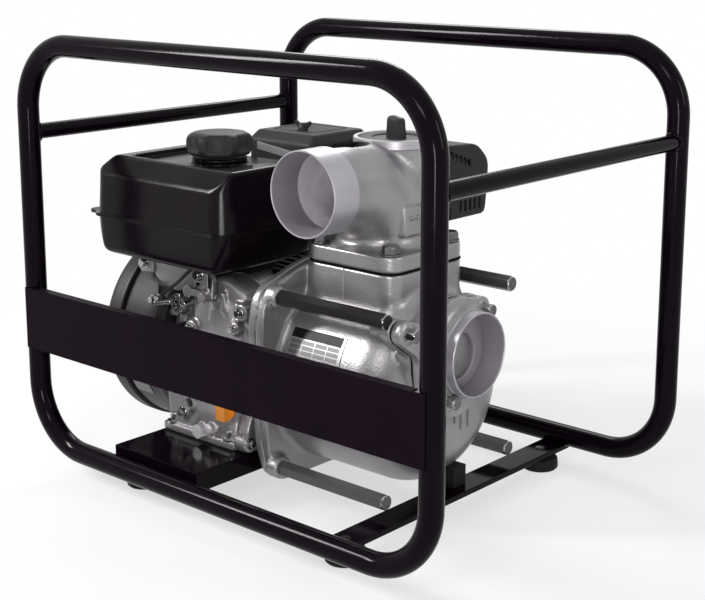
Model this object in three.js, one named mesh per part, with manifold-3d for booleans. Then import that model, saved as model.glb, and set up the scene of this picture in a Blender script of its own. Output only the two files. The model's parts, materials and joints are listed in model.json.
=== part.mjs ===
// Engine-driven trash pump in a tube frame: 100 mm class, discharge to the front (-Y), suction to the
// right (+X), engine to the left. Millimetres, +Z up, origin on the floor under the middle of the frame.
import * as THREE from "three";
import { mergeVertices } from "three/addons/utils/BufferGeometryUtils.js";
import Module from "manifold-3d";

const wasm = await Module();
wasm.setup();

// Driving dimensions: the tube frame
const tubeDiameter = 30;
const loopLength = 706;
const loopWidth = 508;
const loopHeight = 562;
const cornerRadius = 90;
const loopGroundGap = 23.5;
const handBarDiameter = 21.5;
const handBarHeight = 479;
const pieceGap = 0.3;
const cutOverrun = 5;

// Sheet parts that tie the two loops together
const sheetThickness = 3;
const panWidth = 163;
const panCentreX = -129.5;
const panTop = 60;
const panSkirt = 28;
const panLegWidth = 40;
const panelHeight = 86;
const panelBottom = 178;
const panelThickness = 2;
const panelOverhang = 3;
const panelReturn = 11;
const pumpBarWidth = 38;
const pumpBarHeight = 8;
const pumpBarTop = 29;
const pumpBarX = 184;

// Rubber feet
const footDiameter = 52;
const footHeight = 18;
const footAcross = 414;
const leftFootX = -186;
const footNeckDiameter = 24;
const footRim = 3;

// Shaft line, shared by the engine and the pump
const shaftHeight = 168;
const shaftDiameter = 30;
const runningGap = 0.6;

// Pump casing
const adapterThickness = 27;
const adapterFrontX = -8;
const casingRadius = 131;
const casingHeight = 165;
const casingRound = 60;
const casingWall = 7;
const casingEndX = 186;
const casingMouthRadius = 62;
const bossStartX = 112;
const adapterHighHalf = 157;
const adapterLowHalf = 144;
const adapterShoulder = 252;
const adapterTop = 290;
const adapterBottom = 26;
const adapterFootHalf = 126;
const adapterWaist = 62;
const hubRadius = 81;
const neckSide = 153;
const neckCornerRadius = 22;
const neckCentreX = 70;
const neckTop = 323;
const flangeThickness = 21;
const flangeBoltInset = 16.5;
const gasketThickness = 1.8;
const seamThickness = 2;
const coverThickness = 14;
const coverRadius = 78;
const coverCentreY = -10;
const coverDrop = 6;
const coverEarRadius = 16;
const coverEarRoot = 34;
const coverBoltOffsets = [
  [-113, 52],
  [45, 46],
  [-9, -61],
  [-68, -35],
];
const portOuterDiameter = 111;
const portBore = 99;
const suctionHeight = 221;
const suctionReach = 228;
const barAcrossFlats = 19;
const barLength = 192;
const barSpacingY = 260;
const barLowHeight = 50;
const barHighHeight = 283;
const barEndChamfer = 1.5;
const bossRadius = 20;
const barRoomRadius = 13;

// Discharge elbow and priming port
const dischargeHeight = 429;
const dischargeReach = 153;
const collarLength = 42;
const elbowDiameter = 122;
const elbowBendRadius = 80;
const primingPortDiameter = 106;
const primingLipDiameter = 114;
const primingLipHeight = 12;
const primingOffsetY = 28;
const primingStart = 366;
const elbowCentreX = 64;
const primingTop = 484;
const primingBore = 88;
const plugFlangeThickness = 12;
const plugWebHeight = 30;
const plugWebLength = 28;
const plugWebThickness = 8;
const plugSkirtDepth = 26;
const boltHeadAcross = 19;
const boltHeadHeight = 11;
const washerDiameter = 25;
const washerThickness = 2.5;

// Pump internals
const impellerRadius = 78;
const impellerDiscThickness = 7;
const impellerVaneHeight = 22;
const impellerVaneThickness = 6;
const impellerX = 60;
const vaneWrapShare = 0.8;
const voluteThickness = 9;
const voluteDepth = 44;
const voluteEye = 42;
const impellerHubRadius = 21;
const vaneSteps = 8;
const sealRadius = 25;
const sealLength = 26;
const flapThickness = 6;
const flapDiameter = 84;
const flapLap = 5;
const flapPinDiameter = 6;

// Engine
const engineBaseHeight = 12;
const crankcaseLength = 156;
const crankcaseEndX = -70;
const crankcaseHalfWidth = 112;
const sumpHalfWidth = 146;
const sumpHeight = 62;
const sumpRise = 28;
const crankcaseTop = 250;
const crankcaseWall = 9;
const caseCoverThickness = 20;
const cylinderTiltDegrees = 28;
const cylinderCentreX = -150;
const cylinderStart = 92;
const cylinderLength = 62;
const cylinderWidth = 104;
const finGap = 5;
const finThickness = 4;
const finDepth = 12;
const boreShare = 0.6;
const headLength = 34;
const rockerLength = 24;
const crankThrow = 27;
const crankWebThickness = 13;
const crankWebRadius = 42;
const crankPinWidth = 24;
const crankPinDiameter = 26;
const rodLength = 98;
const rodBigEnd = 38;
const rodSmallEnd = 26;
const pistonHeight = 46;
const gearModule = 1.75;
const crankGearTeeth = 20;
const gearWidth = 12;
const gearBacklash = 0.5;
const toothRootDepthShare = 1.3;
const toothRootShare = 0.34;
const toothTipShare = 0.13;
const camDipDegrees = 28;
const camShaftDiameter = 16;
const housingRadius = 140;
const housingDepth = 88;
const housingWall = 2.5;
const housingRise = 132;
const ductReach = 174;
const ductHalf = 32;
const ductAngle = 1.3;
const flywheelSetback = 26;
const flywheelRadius = 112;
const flywheelThickness = 18;
const fanFinHeight = 18;
const fanFinCount = 12;
const fanFinLength = 42;
const fanFinCentre = 84;
const intakeRadius = 84;
const recoilDepth = 36;
const recoilRadius = 144;
const recoilRim = 16;
const recoilWall = 2.5;
const reelRadius = 52;
const reelThickness = 16;
const ventCount = 12;
const ventLength = 40;
const ventWidth = 10;
const ventCentre = 92;

// Fuel tank
const tankLeftX = -335;
const tankRightX = -66;
const tankFrontY = -168;
const tankBackY = 28;
const tankClearance = 2;
const tankLowerDepth = 55;
const tankUpperDepth = 83;
const tankWall = 2;
const tankCornerRadius = 22;
const tankSlopeWidth = 25;
const tankSlopeDrop = 29;
const tankEdgeRound = 10;
const tankEndSlope = 34;
const tankLip = 2;
const tankLipThickness = 2.4;
const fillerDiameter = 56;
const recessDepth = 7;
const recessLowX = -290;
const recessHighX = -105;
const recessLowY = -132;
const capDiameter = 92;
const capRise = 5;
const capHeight = 32;
const capRound = 8;
const capGripCount = 8;
const capX = -178;
const capY = -64;
const bracketLowX = -288;
const bracketHighX = -132;
const bracketFrontY = -118;
const bracketBackY = -56;
const bracketPad = 30;
const bracketStrip = 16;

// Air cleaner, carburettor, muffler and controls
const airBoxX = -160;
const airBoxY = 100;
const airBoxLength = 134;
const airBoxWidth = 128;
const airBoxTop = 466;
const airBoxRound = 18;
const airCoverHeight = 68;
const airBaseHeight = 26;
const carburettorSide = 46;
const carburettorHeight = 44;
const airWall = 2.5;
const airChamfer = 13;
const airLedge = 5;
const studDiameter = 6;
const studX = -155;
const studY = 80;
const bowlDiameter = 34;
const bowlBottom = 296;
const wingNutSpan = 32;
const wingNutHeight = 15;
const wingNutHub = 15;
const mufflerLeftX = -92;
const mufflerRightX = 70;
const mufflerFrontY = 116;
const mufflerBackY = 230;
const mufflerBottom = 350;
const mufflerTop = 462;
const guardThickness = 2;
const guardChamferY = 44;
const guardChamferZ = 24;
const guardClearance = 8;
const guardSlotLength = 11;
const guardSlotHeight = 5;
const guardSlotCount = 5;
const guardNotch = 34;
const mufflerRound = 34;
const mufflerWall = 2.5;
const mufflerBossRadius = 8;
const exhaustPipeX = -68;
const exhaustPipeDiameter = 26;
const leverLength = 44;
const leverThickness = 4;
const leverWidth = 9;
const leverPinDiameter = 6;
const knobDiameter = 14;
const throttleX = -188;
const throttleZ = 258;
const chokeLength = 34;
const chokeZ = 346;
const oilPlugDiameter = 30;
const oilPlugX = -86;
const oilPlugZ = 116;
const oilPlugFaceY = -143;
const switchDiameter = 22;
const switchReach = 9;
const switchX = -200;
const switchZ = 200;
const drainBoltX = -132;
const drainBoltZ = 76;

// Finishes
const blackPaint = { color: 0x17151a, roughness: 0.32, metalness: 0.3 };
const blackSteel = { color: 0x1f1e22, roughness: 0.45, metalness: 0.3 };
const blackPlastic = { color: 0x252526, roughness: 0.6, metalness: 0 };
const greyPlastic = { color: 0x3c3d3c, roughness: 0.65, metalness: 0 };
const rubber = { color: 0x161517, roughness: 0.9, metalness: 0 };
const castAluminium = { color: 0x8a888a, roughness: 0.42, metalness: 0.75 };
const darkCasting = { color: 0x6e6c6f, roughness: 0.5, metalness: 0.7 };
const brightSteel = { color: 0xb4b2b4, roughness: 0.28, metalness: 0.9 };
const darkIron = { color: 0x4a494a, roughness: 0.6, metalness: 0.6 };
const orangePlastic = { color: 0xe0801f, roughness: 0.5, metalness: 0 };
const ceramic = { color: 0xe8e4dc, roughness: 0.3, metalness: 0 };

// Facet counts
const roundSides = 18;
const fineSides = 30;
const smallSides = 12;
const bendSteps = 5;
const hexSides = 6;

const mergeTolerance = 1e-4;

const halfTurn = Math.PI;
const fullTurn = 2 * Math.PI;
const quarterTurn = Math.PI / 2;

const tubeRadius = tubeDiameter / 2;
const postX = loopLength / 2;
const loopY = loopWidth / 2;
const loopBottomZ = loopGroundGap + tubeRadius;
const loopTopZ = loopBottomZ + loopHeight;
const portRadius = portOuterDiameter / 2;
const casingStartX = adapterFrontX + pieceGap;
const adapterBackX = adapterFrontX - adapterThickness;
const coverCentreZ = suctionHeight - coverDrop;
const housingTop = shaftHeight + housingRise;
const tankBottom = housingTop + tankClearance;
const tankSeam = tankBottom + tankLowerDepth;
const tankTop = tankSeam + tankUpperDepth;
const cylinderBore = cylinderWidth * boreShare;
const coverStartX = casingEndX + seamThickness + 2 * pieceGap;
const coverEndX = coverStartX + coverThickness;

// Boolean helpers: a three.js geometry becomes a solid, and a solid a geometry again.

// A closed geometry as a solid, with its shared corners merged and its faces turned outwards.
function solid(geometry) {
  const bare = geometry.index ? geometry.toNonIndexed() : geometry.clone();
  bare.deleteAttribute("normal");
  bare.deleteAttribute("uv");
  const merged = mergeVertices(bare, mergeTolerance);
  const corners = merged.attributes.position.array;
  const index = Array.from(merged.index.array);
  const triangles = [];
  for (let i = 0; i < index.length; i += 3) {
    const [a, b, c] = index.slice(i, i + 3);
    if (a !== b && b !== c && c !== a) triangles.push(a, b, c);
  }
  if (signedVolume(corners, triangles) < 0) triangles.reverse();
  return new wasm.Manifold(
    new wasm.Mesh({
      numProp: 3,
      vertProperties: corners,
      triVerts: new Uint32Array(triangles),
    }),
  );
}

// Six times the volume that the triangles close in, negative where they face inwards.
function signedVolume(corners, triangles) {
  const at = (i) => new THREE.Vector3().fromArray(corners, 3 * i);
  let sum = 0;
  for (let i = 0; i < triangles.length; i += 3) {
    const [a, b, c] = triangles.slice(i, i + 3).map(at);
    sum += a.dot(b.cross(c));
  }
  return sum;
}

// A solid as a flat-shaded geometry.
function geometryOf(manifold) {
  const { vertProperties, triVerts, numProp } = manifold.getMesh();
  const indexed = new THREE.BufferGeometry();
  const corners = [];
  for (let i = 0; i < vertProperties.length; i += numProp) {
    corners.push(vertProperties[i], vertProperties[i + 1], vertProperties[i + 2]);
  }
  indexed.setAttribute("position", new THREE.Float32BufferAttribute(corners, 3));
  indexed.setIndex(Array.from(triVerts));
  const flat = indexed.toNonIndexed();
  flat.computeVertexNormals();
  return flat;
}

function join(...solids) {
  return solids.reduce((whole, next) => whole.add(next));
}

function cut(body, ...tools) {
  return tools.reduce((rest, tool) => rest.subtract(tool), body);
}

// Basic bodies, each placed in the machine's own frame.

function block(lowX, highX, lowY, highY, lowZ, highZ) {
  const geometry = new THREE.BoxGeometry(highX - lowX, highY - lowY, highZ - lowZ);
  geometry.translate((lowX + highX) / 2, (lowY + highY) / 2, (lowZ + highZ) / 2);
  return solid(geometry);
}

// Turns a body made along +Z so that it lies along the axis named, with its outline's two
// directions on (Y, Z), (X, Z) or (X, Y).
const turnTo = {
  x: new THREE.Matrix4().makeBasis(
    new THREE.Vector3(0, 1, 0),
    new THREE.Vector3(0, 0, 1),
    new THREE.Vector3(1, 0, 0),
  ),
  y: new THREE.Matrix4().makeBasis(
    new THREE.Vector3(1, 0, 0),
    new THREE.Vector3(0, 0, 1),
    new THREE.Vector3(0, -1, 0),
  ),
  z: new THREE.Matrix4(),
};

// An outline drawn at its real place and pushed out from low to high along an axis.
function prism(axis, shape, low, high) {
  const geometry = new THREE.ExtrudeGeometry(shape, {
    depth: high - low,
    bevelEnabled: false,
    curveSegments: bendSteps,
  });
  geometry.translate(0, 0, axis === "y" ? -high : low);
  geometry.applyMatrix4(turnTo[axis]);
  return solid(geometry);
}

// A round bar from low to high along an axis, at the place (a, b) on its two other directions.
function rod(axis, radius, low, high, a, b, sides = roundSides) {
  return prism(axis, circle(a, b, radius, sides), low, high);
}

function circle(a, b, radius, sides = roundSides) {
  const points = [];
  for (let i = 0; i < sides; i += 1) {
    const angle = ((i + 1 / 2) * fullTurn) / sides;
    points.push(
      new THREE.Vector2(a + radius * Math.cos(angle), b + radius * Math.sin(angle)),
    );
  }
  return new THREE.Shape(points);
}

// A hexagon with the given distance across its flats.
function hexagon(a, b, acrossFlats) {
  return circle(a, b, acrossFlats / Math.sqrt(3), hexSides);
}

// An outline through the points, with each corner rounded to its radius.
function roundedOutline(corners) {
  const shape = new THREE.Shape();
  const count = corners.length;
  for (let i = 0; i < count; i += 1) {
    const [x, y, radius = 0] = corners[i];
    const here = new THREE.Vector2(x, y);
    const [px, py] = corners[(i + count - 1) % count];
    const [nx, ny] = corners[(i + 1) % count];
    const back = new THREE.Vector2(px, py).sub(here);
    const ahead = new THREE.Vector2(nx, ny).sub(here);
    const half = Math.acos(back.dot(ahead) / back.length() / ahead.length()) / 2;
    const reach = Math.min(
      radius / Math.tan(half),
      back.length() / 2,
      ahead.length() / 2,
    );
    const enter = here.clone().addScaledVector(back, reach / back.length());
    const leave = here.clone().addScaledVector(ahead, reach / ahead.length());
    if (i === 0) shape.moveTo(enter.x, enter.y);
    else shape.lineTo(enter.x, enter.y);
    if (reach > 0) shape.quadraticCurveTo(here.x, here.y, leave.x, leave.y);
  }
  shape.closePath();
  return shape;
}

function roundedRectangle(lowA, highA, lowB, highB, radius) {
  return roundedOutline([
    [lowA, lowB, radius],
    [highA, lowB, radius],
    [highA, highB, radius],
    [lowA, highB, radius],
  ]);
}

// A profile of [radius, distance along the axis] turned about an axis through (a, b).
function turned(axis, profile, a, b, sides = roundSides) {
  const points = profile.map(([radius, along]) => new THREE.Vector2(radius, along));
  const geometry = new THREE.LatheGeometry(points, sides, quarterTurn / sides);
  geometry.rotateX(quarterTurn);
  geometry.translate(a, b, 0);
  if (axis === "y") geometry.scale(1, 1, -1);
  geometry.applyMatrix4(turnTo[axis]);
  return solid(geometry);
}

// A path that is sampled at its own points, so straight runs take one step.
class StepPath extends THREE.Curve {
  constructor(points, tangents) {
    super();
    this.points = points;
    this.tangents = tangents;
  }

  getPoint(t) {
    return this.points[Math.round(t * (this.points.length - 1))].clone();
  }

  getPointAt(t) {
    return this.getPoint(t);
  }

  getTangentAt(t) {
    return this.tangents[Math.round(t * (this.tangents.length - 1))].clone();
  }
}

// A path in one plane from its start heading, made of runs [length] and bends [radius, angle].
function plannedPath(start, heading, side, moves) {
  const points = [start.clone()];
  const tangents = [heading.clone()];
  let place = start.clone();
  let ahead = heading.clone();
  let across = side.clone();
  for (const [size, angle] of moves) {
    if (angle === undefined) {
      place = place.clone().addScaledVector(ahead, size);
      points.push(place);
      tangents.push(ahead.clone());
    } else {
      const centre = place.clone().addScaledVector(across, size);
      const first = ahead.clone();
      const inward = across.clone();
      for (let i = 1; i <= bendSteps; i += 1) {
        const turn = (angle * i) / bendSteps;
        place = centre
          .clone()
          .addScaledVector(inward, -size * Math.cos(turn))
          .addScaledVector(first, size * Math.sin(turn));
        ahead = first
          .clone()
          .multiplyScalar(Math.cos(turn))
          .addScaledVector(inward, Math.sin(turn));
        points.push(place);
        tangents.push(ahead.clone());
      }
      across = inward
        .clone()
        .multiplyScalar(Math.cos(angle))
        .addScaledVector(first, -Math.sin(angle));
    }
  }
  return new StepPath(points, tangents);
}

function swept(path, radius, sides) {
  return solid(
    new THREE.ExtrudeGeometry(circle(0, 0, radius, sides), {
      steps: path.points.length - 1,
      extrudePath: path,
      bevelEnabled: false,
    }),
  );
}

// The machine: every piece is a named mesh in this group.
const machine = new THREE.Group();
machine.name = "trash_pump";
// The panel stands proud of the front loop, so the whole is moved back to stay centred.
machine.position.y = (panelThickness + pieceGap) / 2;

function add(name, body, finish) {
  const mesh = new THREE.Mesh(
    geometryOf(body),
    new THREE.MeshStandardMaterial(finish),
  );
  mesh.name = name;
  machine.add(mesh);
}

// A ring of tube in an upright plane: its sections are joined end to end, so it has no caps.
function ringOfTube(path, radius, sides) {
  const across = new THREE.Vector3(0, 1, 0);
  const stations = path.points.length - 1;
  const corners = [];
  const index = [];
  for (let i = 0; i < stations; i += 1) {
    const outward = path.tangents[i].clone().cross(across);
    for (let j = 0; j < sides; j += 1) {
      const angle = ((j + 1 / 2) * fullTurn) / sides;
      const corner = path.points[i]
        .clone()
        .addScaledVector(outward, radius * Math.cos(angle))
        .addScaledVector(across, radius * Math.sin(angle));
      corners.push(corner.x, corner.y, corner.z);
      const here = i * sides + j;
      const beside = i * sides + ((j + 1) % sides);
      const ahead = ((i + 1) % stations) * sides + j;
      const opposite = ((i + 1) % stations) * sides + ((j + 1) % sides);
      index.push(here, beside, opposite, here, opposite, ahead);
    }
  }
  const geometry = new THREE.BufferGeometry();
  geometry.setAttribute("position", new THREE.Float32BufferAttribute(corners, 3));
  geometry.setIndex(index);
  return solid(geometry);
}

// Frame: two closed loops of tube, two hand bars between them, and the sheet parts below.
function loop(y) {
  const halfRun = postX - cornerRadius;
  const rise = loopHeight - 2 * cornerRadius;
  const corner = [cornerRadius, quarterTurn];
  const path = plannedPath(
    new THREE.Vector3(0, y, loopBottomZ),
    new THREE.Vector3(1, 0, 0),
    new THREE.Vector3(0, 0, 1),
    [[halfRun], corner, [rise], corner, [2 * halfRun], corner, [rise], corner, [halfRun]],
  );
  return ringOfTube(path, tubeRadius, roundSides);
}

function tubeClearance(y) {
  const hole = tubeRadius + pieceGap;
  return join(
    rod("x", hole, -postX, postX, y, loopBottomZ),
    rod("z", hole, loopBottomZ, loopTopZ, -postX, y),
    rod("z", hole, loopBottomZ, loopTopZ, postX, y),
  );
}

const clearOfLoops = [tubeClearance(-loopY), tubeClearance(loopY)];

function frame() {
  add("front_loop", loop(-loopY), blackPaint);
  add("rear_loop", loop(loopY), blackPaint);
  for (const [name, x] of [
    ["left_hand_bar", -postX],
    ["right_hand_bar", postX],
  ]) {
    const bar = rod("y", handBarDiameter / 2, -loopY, loopY, x, handBarHeight);
    add(name, largest(cut(bar, ...clearOfLoops)), blackPaint);
  }
  add("engine_pan", enginePan(), blackPaint);
  add("pump_crossbar", pumpCrossbar(), blackPaint);
  add("front_panel", frontPanel(), blackPaint);
  const feet = [
    ["left_front_foot", leftFootX, -1],
    ["left_rear_foot", leftFootX, 1],
    ["right_front_foot", pumpBarX, -1],
    ["right_rear_foot", pumpBarX, 1],
  ];
  for (const [name, x, side] of feet) {
    add(name, foot(x, (side * footAcross) / 2), rubber);
  }
}

// The largest of the pieces that a cut leaves, which drops the offcuts past a coped end.
function largest(body) {
  const pieces = body.decompose();
  pieces.sort((a, b) => b.volume() - a.volume());
  return pieces[0];
}

const panLowX = panCentreX - panWidth / 2;
const panHighX = panCentreX + panWidth / 2;
const panEndY = loopY - tubeRadius - pieceGap;
const legLow = footHeight + pieceGap;

function enginePan() {
  const outside = block(panLowX, panHighX, -panEndY, panEndY, panTop - panSkirt, panTop);
  const inside = block(
    panLowX + sheetThickness,
    panHighX - sheetThickness,
    -panEndY + sheetThickness,
    panEndY - sheetThickness,
    panTop - panSkirt - cutOverrun,
    panTop - sheetThickness,
  );
  const legs = [-1, 1].map((side) => {
    const y = (side * footAcross) / 2;
    const low = y - panLegWidth / 2;
    const high = y + panLegWidth / 2;
    const left = leftFootX - panLegWidth / 2;
    const right = leftFootX + panLegWidth / 2;
    const leg = block(left, right, low, high, legLow, panTop - sheetThickness / 2);
    const hollow = block(
      left + sheetThickness,
      right - sheetThickness,
      low - cutOverrun,
      high + cutOverrun,
      legLow + sheetThickness,
      panTop - sheetThickness,
    );
    return cut(leg, hollow);
  });
  return join(cut(outside, inside), ...legs);
}

function pumpCrossbar() {
  const low = pumpBarX - pumpBarWidth / 2;
  const high = pumpBarX + pumpBarWidth / 2;
  const bottom = pumpBarTop - pumpBarHeight;
  const bar = block(low, high, -loopY, loopY, bottom, pumpBarTop);
  const hollow = block(
    low + sheetThickness,
    high - sheetThickness,
    -loopY - cutOverrun,
    loopY + cutOverrun,
    bottom - cutOverrun,
    pumpBarTop - sheetThickness,
  );
  return largest(cut(bar, hollow, ...clearOfLoops));
}

const panelFrontY = -loopY - tubeRadius - pieceGap - panelThickness;
const panelBackY = panelFrontY + panelThickness;

function frontPanel() {
  const end = postX + panelOverhang;
  const top = panelBottom + panelHeight;
  const inner = postX - tubeRadius - panelThickness;
  const sheet = block(-end, end, panelFrontY, panelBackY, panelBottom, top);
  const lips = [
    [panelBottom, panelBottom + panelThickness],
    [top - panelThickness, top],
  ].map(([low, high]) =>
    block(-inner, inner, panelFrontY, panelBackY + panelReturn, low, high),
  );
  return join(sheet, ...lips);
}

function foot(x, y) {
  const radius = footDiameter / 2;
  const seat = x === leftFootX ? legLow - pieceGap : pumpBarTop - sheetThickness - pieceGap;
  const pad = turned(
    "z",
    [
      [0, 0],
      [radius - footRim, 0],
      [radius, footRim],
      [radius, footHeight],
      [0, footHeight],
    ],
    x,
    y,
  );
  if (seat - footHeight < pieceGap) return pad;
  return join(pad, rod("z", footNeckDiameter / 2, footHeight / 2, seat, x, y));
}

// Pump: adapter plate, casing, cover with the suction port, elbow with the discharge port.
const barPlaces = [-1, 1].flatMap((side) =>
  [barLowHeight, barHighHeight].map((z) => [(side * barSpacingY) / 2, z]),
);

function adapterPlate() {
  const neckHalf = neckSide / 2 - neckCornerRadius;
  const neckEdge = neckTop - gasketThickness;
  const right = [
    [adapterFootHalf, adapterBottom, bossRadius],
    [adapterLowHalf, adapterWaist, bossRadius],
    [adapterHighHalf, adapterShoulder, bossRadius],
    [adapterLowHalf, adapterTop, bossRadius],
    [neckHalf, neckEdge, bossRadius],
  ];
  const left = right.map(([y, z, radius]) => [-y, z, radius]).reverse();
  const plate = prism("x", roundedOutline([...right, ...left]), adapterBackX, adapterFrontX);
  const hub = rod("x", hubRadius, adapterBackX - caseNeck, adapterBackX, 0, shaftHeight);
  const bore = rod(
    "x",
    sealRadius + casingWall + runningGap,
    adapterBackX - caseNeck - cutOverrun,
    adapterFrontX + cutOverrun,
    0,
    shaftHeight,
  );
  return cut(join(plate, hub), bore);
}

// The neck between the adapter plate and the engine's cover.
const coverOuterX = crankcaseEndX + pieceGap + caseCoverThickness;
const caseNeck = adapterBackX - coverOuterX - pieceGap;

function casingProfile(inset) {
  const round = casingRound - inset;
  const points = [
    [0, casingStartX + inset],
    [casingRadius - inset, casingStartX + inset],
  ];
  const centreX = casingEndX - inset - round;
  for (let i = 0; i <= bendSteps; i += 1) {
    const angle = (quarterTurn * i) / bendSteps;
    points.push([
      casingRadius - inset - round + round * Math.cos(angle),
      centreX + round * Math.sin(angle),
    ]);
  }
  points.push([0, casingEndX - inset]);
  return points;
}

const neckLowX = neckCentreX - neckSide / 2;
const neckHighX = neckCentreX + neckSide / 2;

function casing() {
  const drum = turned("x", casingProfile(0), 0, casingHeight, fineSides);
  const chamber = turned("x", casingProfile(casingWall), 0, casingHeight, fineSides);
  const half = neckSide / 2;
  const inner = half - 2 * casingWall;
  const neck = prism(
    "z",
    roundedRectangle(neckLowX, neckHighX, -half, half, neckCornerRadius),
    casingHeight,
    neckTop,
  );
  const passage = prism(
    "z",
    roundedRectangle(
      neckCentreX - inner,
      neckCentreX + inner,
      -inner,
      inner,
      neckCornerRadius,
    ),
    casingHeight,
    neckTop + cutOverrun,
  );
  const boss = rod(
    "x",
    coverRadius - casingWall,
    bossStartX,
    casingEndX,
    coverCentreY,
    coverCentreZ,
    fineSides,
  );
  const rim = coverBody(casingEndX - coverThickness, casingEndX, 0);
  const opening = rod(
    "x",
    casingMouthRadius,
    bossStartX + 2 * casingWall,
    casingEndX + cutOverrun,
    coverCentreY,
    coverCentreZ,
    fineSides,
  );
  const shaftHole = rod(
    "x",
    sealRadius + runningGap,
    casingStartX - cutOverrun,
    casingStartX + 2 * casingWall,
    0,
    shaftHeight,
  );
  const barRoom = barPlaces.map(([y, z]) =>
    rod("x", barRoomRadius, casingStartX - cutOverrun, casingEndX + cutOverrun, y, z, smallSides),
  );
  return cut(join(drum, neck, boss, rim), chamber, passage, opening, shaftHole, ...barRoom);
}

// The cover's shape: a disc with an ear for each of its bolts, grown by an amount.
function coverBody(low, high, grow) {
  const disc = rod("x", coverRadius + grow, low, high, coverCentreY, coverCentreZ, fineSides);
  const root = rod("x", coverEarRoot, low, high, coverCentreY, coverCentreZ, smallSides);
  const ears = coverBoltOffsets.map(([y, rise]) => {
    const tip = rod("x", coverEarRadius + grow, low, high, y, coverCentreZ + rise, smallSides);
    return wasm.Manifold.hull([tip, root]);
  });
  return join(disc, ...ears);
}

function suctionCover() {
  const plate = coverBody(coverStartX, coverEndX, 0);
  const pipe = rod("x", portRadius, coverStartX, suctionReach, 0, suctionHeight, fineSides);
  const bore = rod(
    "x",
    portBore / 2,
    coverStartX + coverThickness / 2,
    suctionReach + cutOverrun,
    0,
    suctionHeight,
    fineSides,
  );
  const eye = rod(
    "x",
    flapDiameter / 2 - casingWall - flapLap,
    coverStartX - cutOverrun,
    coverEndX,
    0,
    suctionHeight - casingWall,
  );
  return cut(join(plate, pipe), bore, eye);
}

function seamGasket() {
  const low = casingEndX + pieceGap;
  const sheet = coverBody(low, low + seamThickness, -pieceGap);
  const hole = rod(
    "x",
    casingMouthRadius,
    low - cutOverrun,
    low + cutOverrun,
    coverCentreY,
    coverCentreZ,
    fineSides,
  );
  return cut(sheet, hole);
}

// The flap hangs behind the suction eye from a pin across the top.
const flapBackX = coverStartX - pieceGap;
const flapHingeX = flapBackX - flapThickness;
const flapHingeZ = suctionHeight + flapDiameter / 2 - casingWall;

function checkFlap() {
  const radius = flapDiameter / 2;
  const centreZ = flapHingeZ - radius;
  const disc = rod("x", radius - flapLap, flapBackX - flapThickness, flapBackX, 0, centreZ);
  const pin = rod(
    "y",
    flapPinDiameter / 2,
    -radius / 2,
    radius / 2,
    flapHingeX,
    flapHingeZ,
    smallSides,
  );
  const tab = block(
    flapHingeX,
    flapBackX,
    -radius / 3,
    radius / 3,
    centreZ + radius / 2,
    flapHingeZ,
  );
  return join(disc, pin, tab);
}

const flangeBottom = neckTop + gasketThickness + 2 * pieceGap;
const flangeTop = flangeBottom + flangeThickness;
const flangeBoltPlaces = [-1, 1].flatMap((a) =>
  [-1, 1].map((b) => {
    const reach = neckSide / 2 - flangeBoltInset;
    return [neckCentreX + a * reach, b * reach];
  }),
);

function dischargeGasket() {
  const half = neckSide / 2;
  const low = neckTop + pieceGap;
  const sheet = prism(
    "z",
    roundedRectangle(neckLowX, neckHighX, -half, half, neckCornerRadius),
    low,
    low + gasketThickness,
  );
  const hole = rod("z", portBore / 2, low - cutOverrun, low + cutOverrun, neckCentreX, 0);
  return cut(sheet, hole);
}

function elbowPath(extra) {
  const rise = dischargeHeight - elbowBendRadius - flangeBottom;
  const run = dischargeReach - elbowBendRadius;
  return plannedPath(
    new THREE.Vector3(elbowCentreX, 0, flangeBottom - extra),
    new THREE.Vector3(0, 0, 1),
    new THREE.Vector3(0, -1, 0),
    [[rise + extra], [elbowBendRadius, quarterTurn], [run + extra]],
  );
}

function dischargeElbow() {
  const half = neckSide / 2;
  const flange = prism(
    "z",
    roundedRectangle(neckLowX, neckHighX, -half, half, neckCornerRadius),
    flangeBottom,
    flangeTop,
  );
  const trim = block(
    neckLowX,
    neckHighX,
    -dischargeReach - cutOverrun,
    -dischargeReach + collarLength,
    flangeTop + cutOverrun,
    primingTop,
  );
  const bend = cut(swept(elbowPath(0), elbowDiameter / 2, fineSides), trim);
  const collar = rod(
    "y",
    portRadius,
    -dischargeReach,
    -dischargeReach + collarLength + cutOverrun,
    elbowCentreX,
    dischargeHeight,
    fineSides,
  );
  const port = rod(
    "z",
    primingPortDiameter / 2,
    primingStart,
    primingTop,
    elbowCentreX,
    primingOffsetY,
    fineSides,
  );
  const lip = rod(
    "z",
    primingLipDiameter / 2,
    primingTop - primingLipHeight,
    primingTop,
    elbowCentreX,
    primingOffsetY,
    fineSides,
  );
  const passage = swept(elbowPath(cutOverrun), portBore / 2, roundSides);
  const well = rod(
    "z",
    primingBore / 2,
    dischargeHeight,
    primingTop + cutOverrun,
    elbowCentreX,
    primingOffsetY,
  );
  return cut(join(flange, bend, collar, port, lip), passage, well);
}

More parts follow.
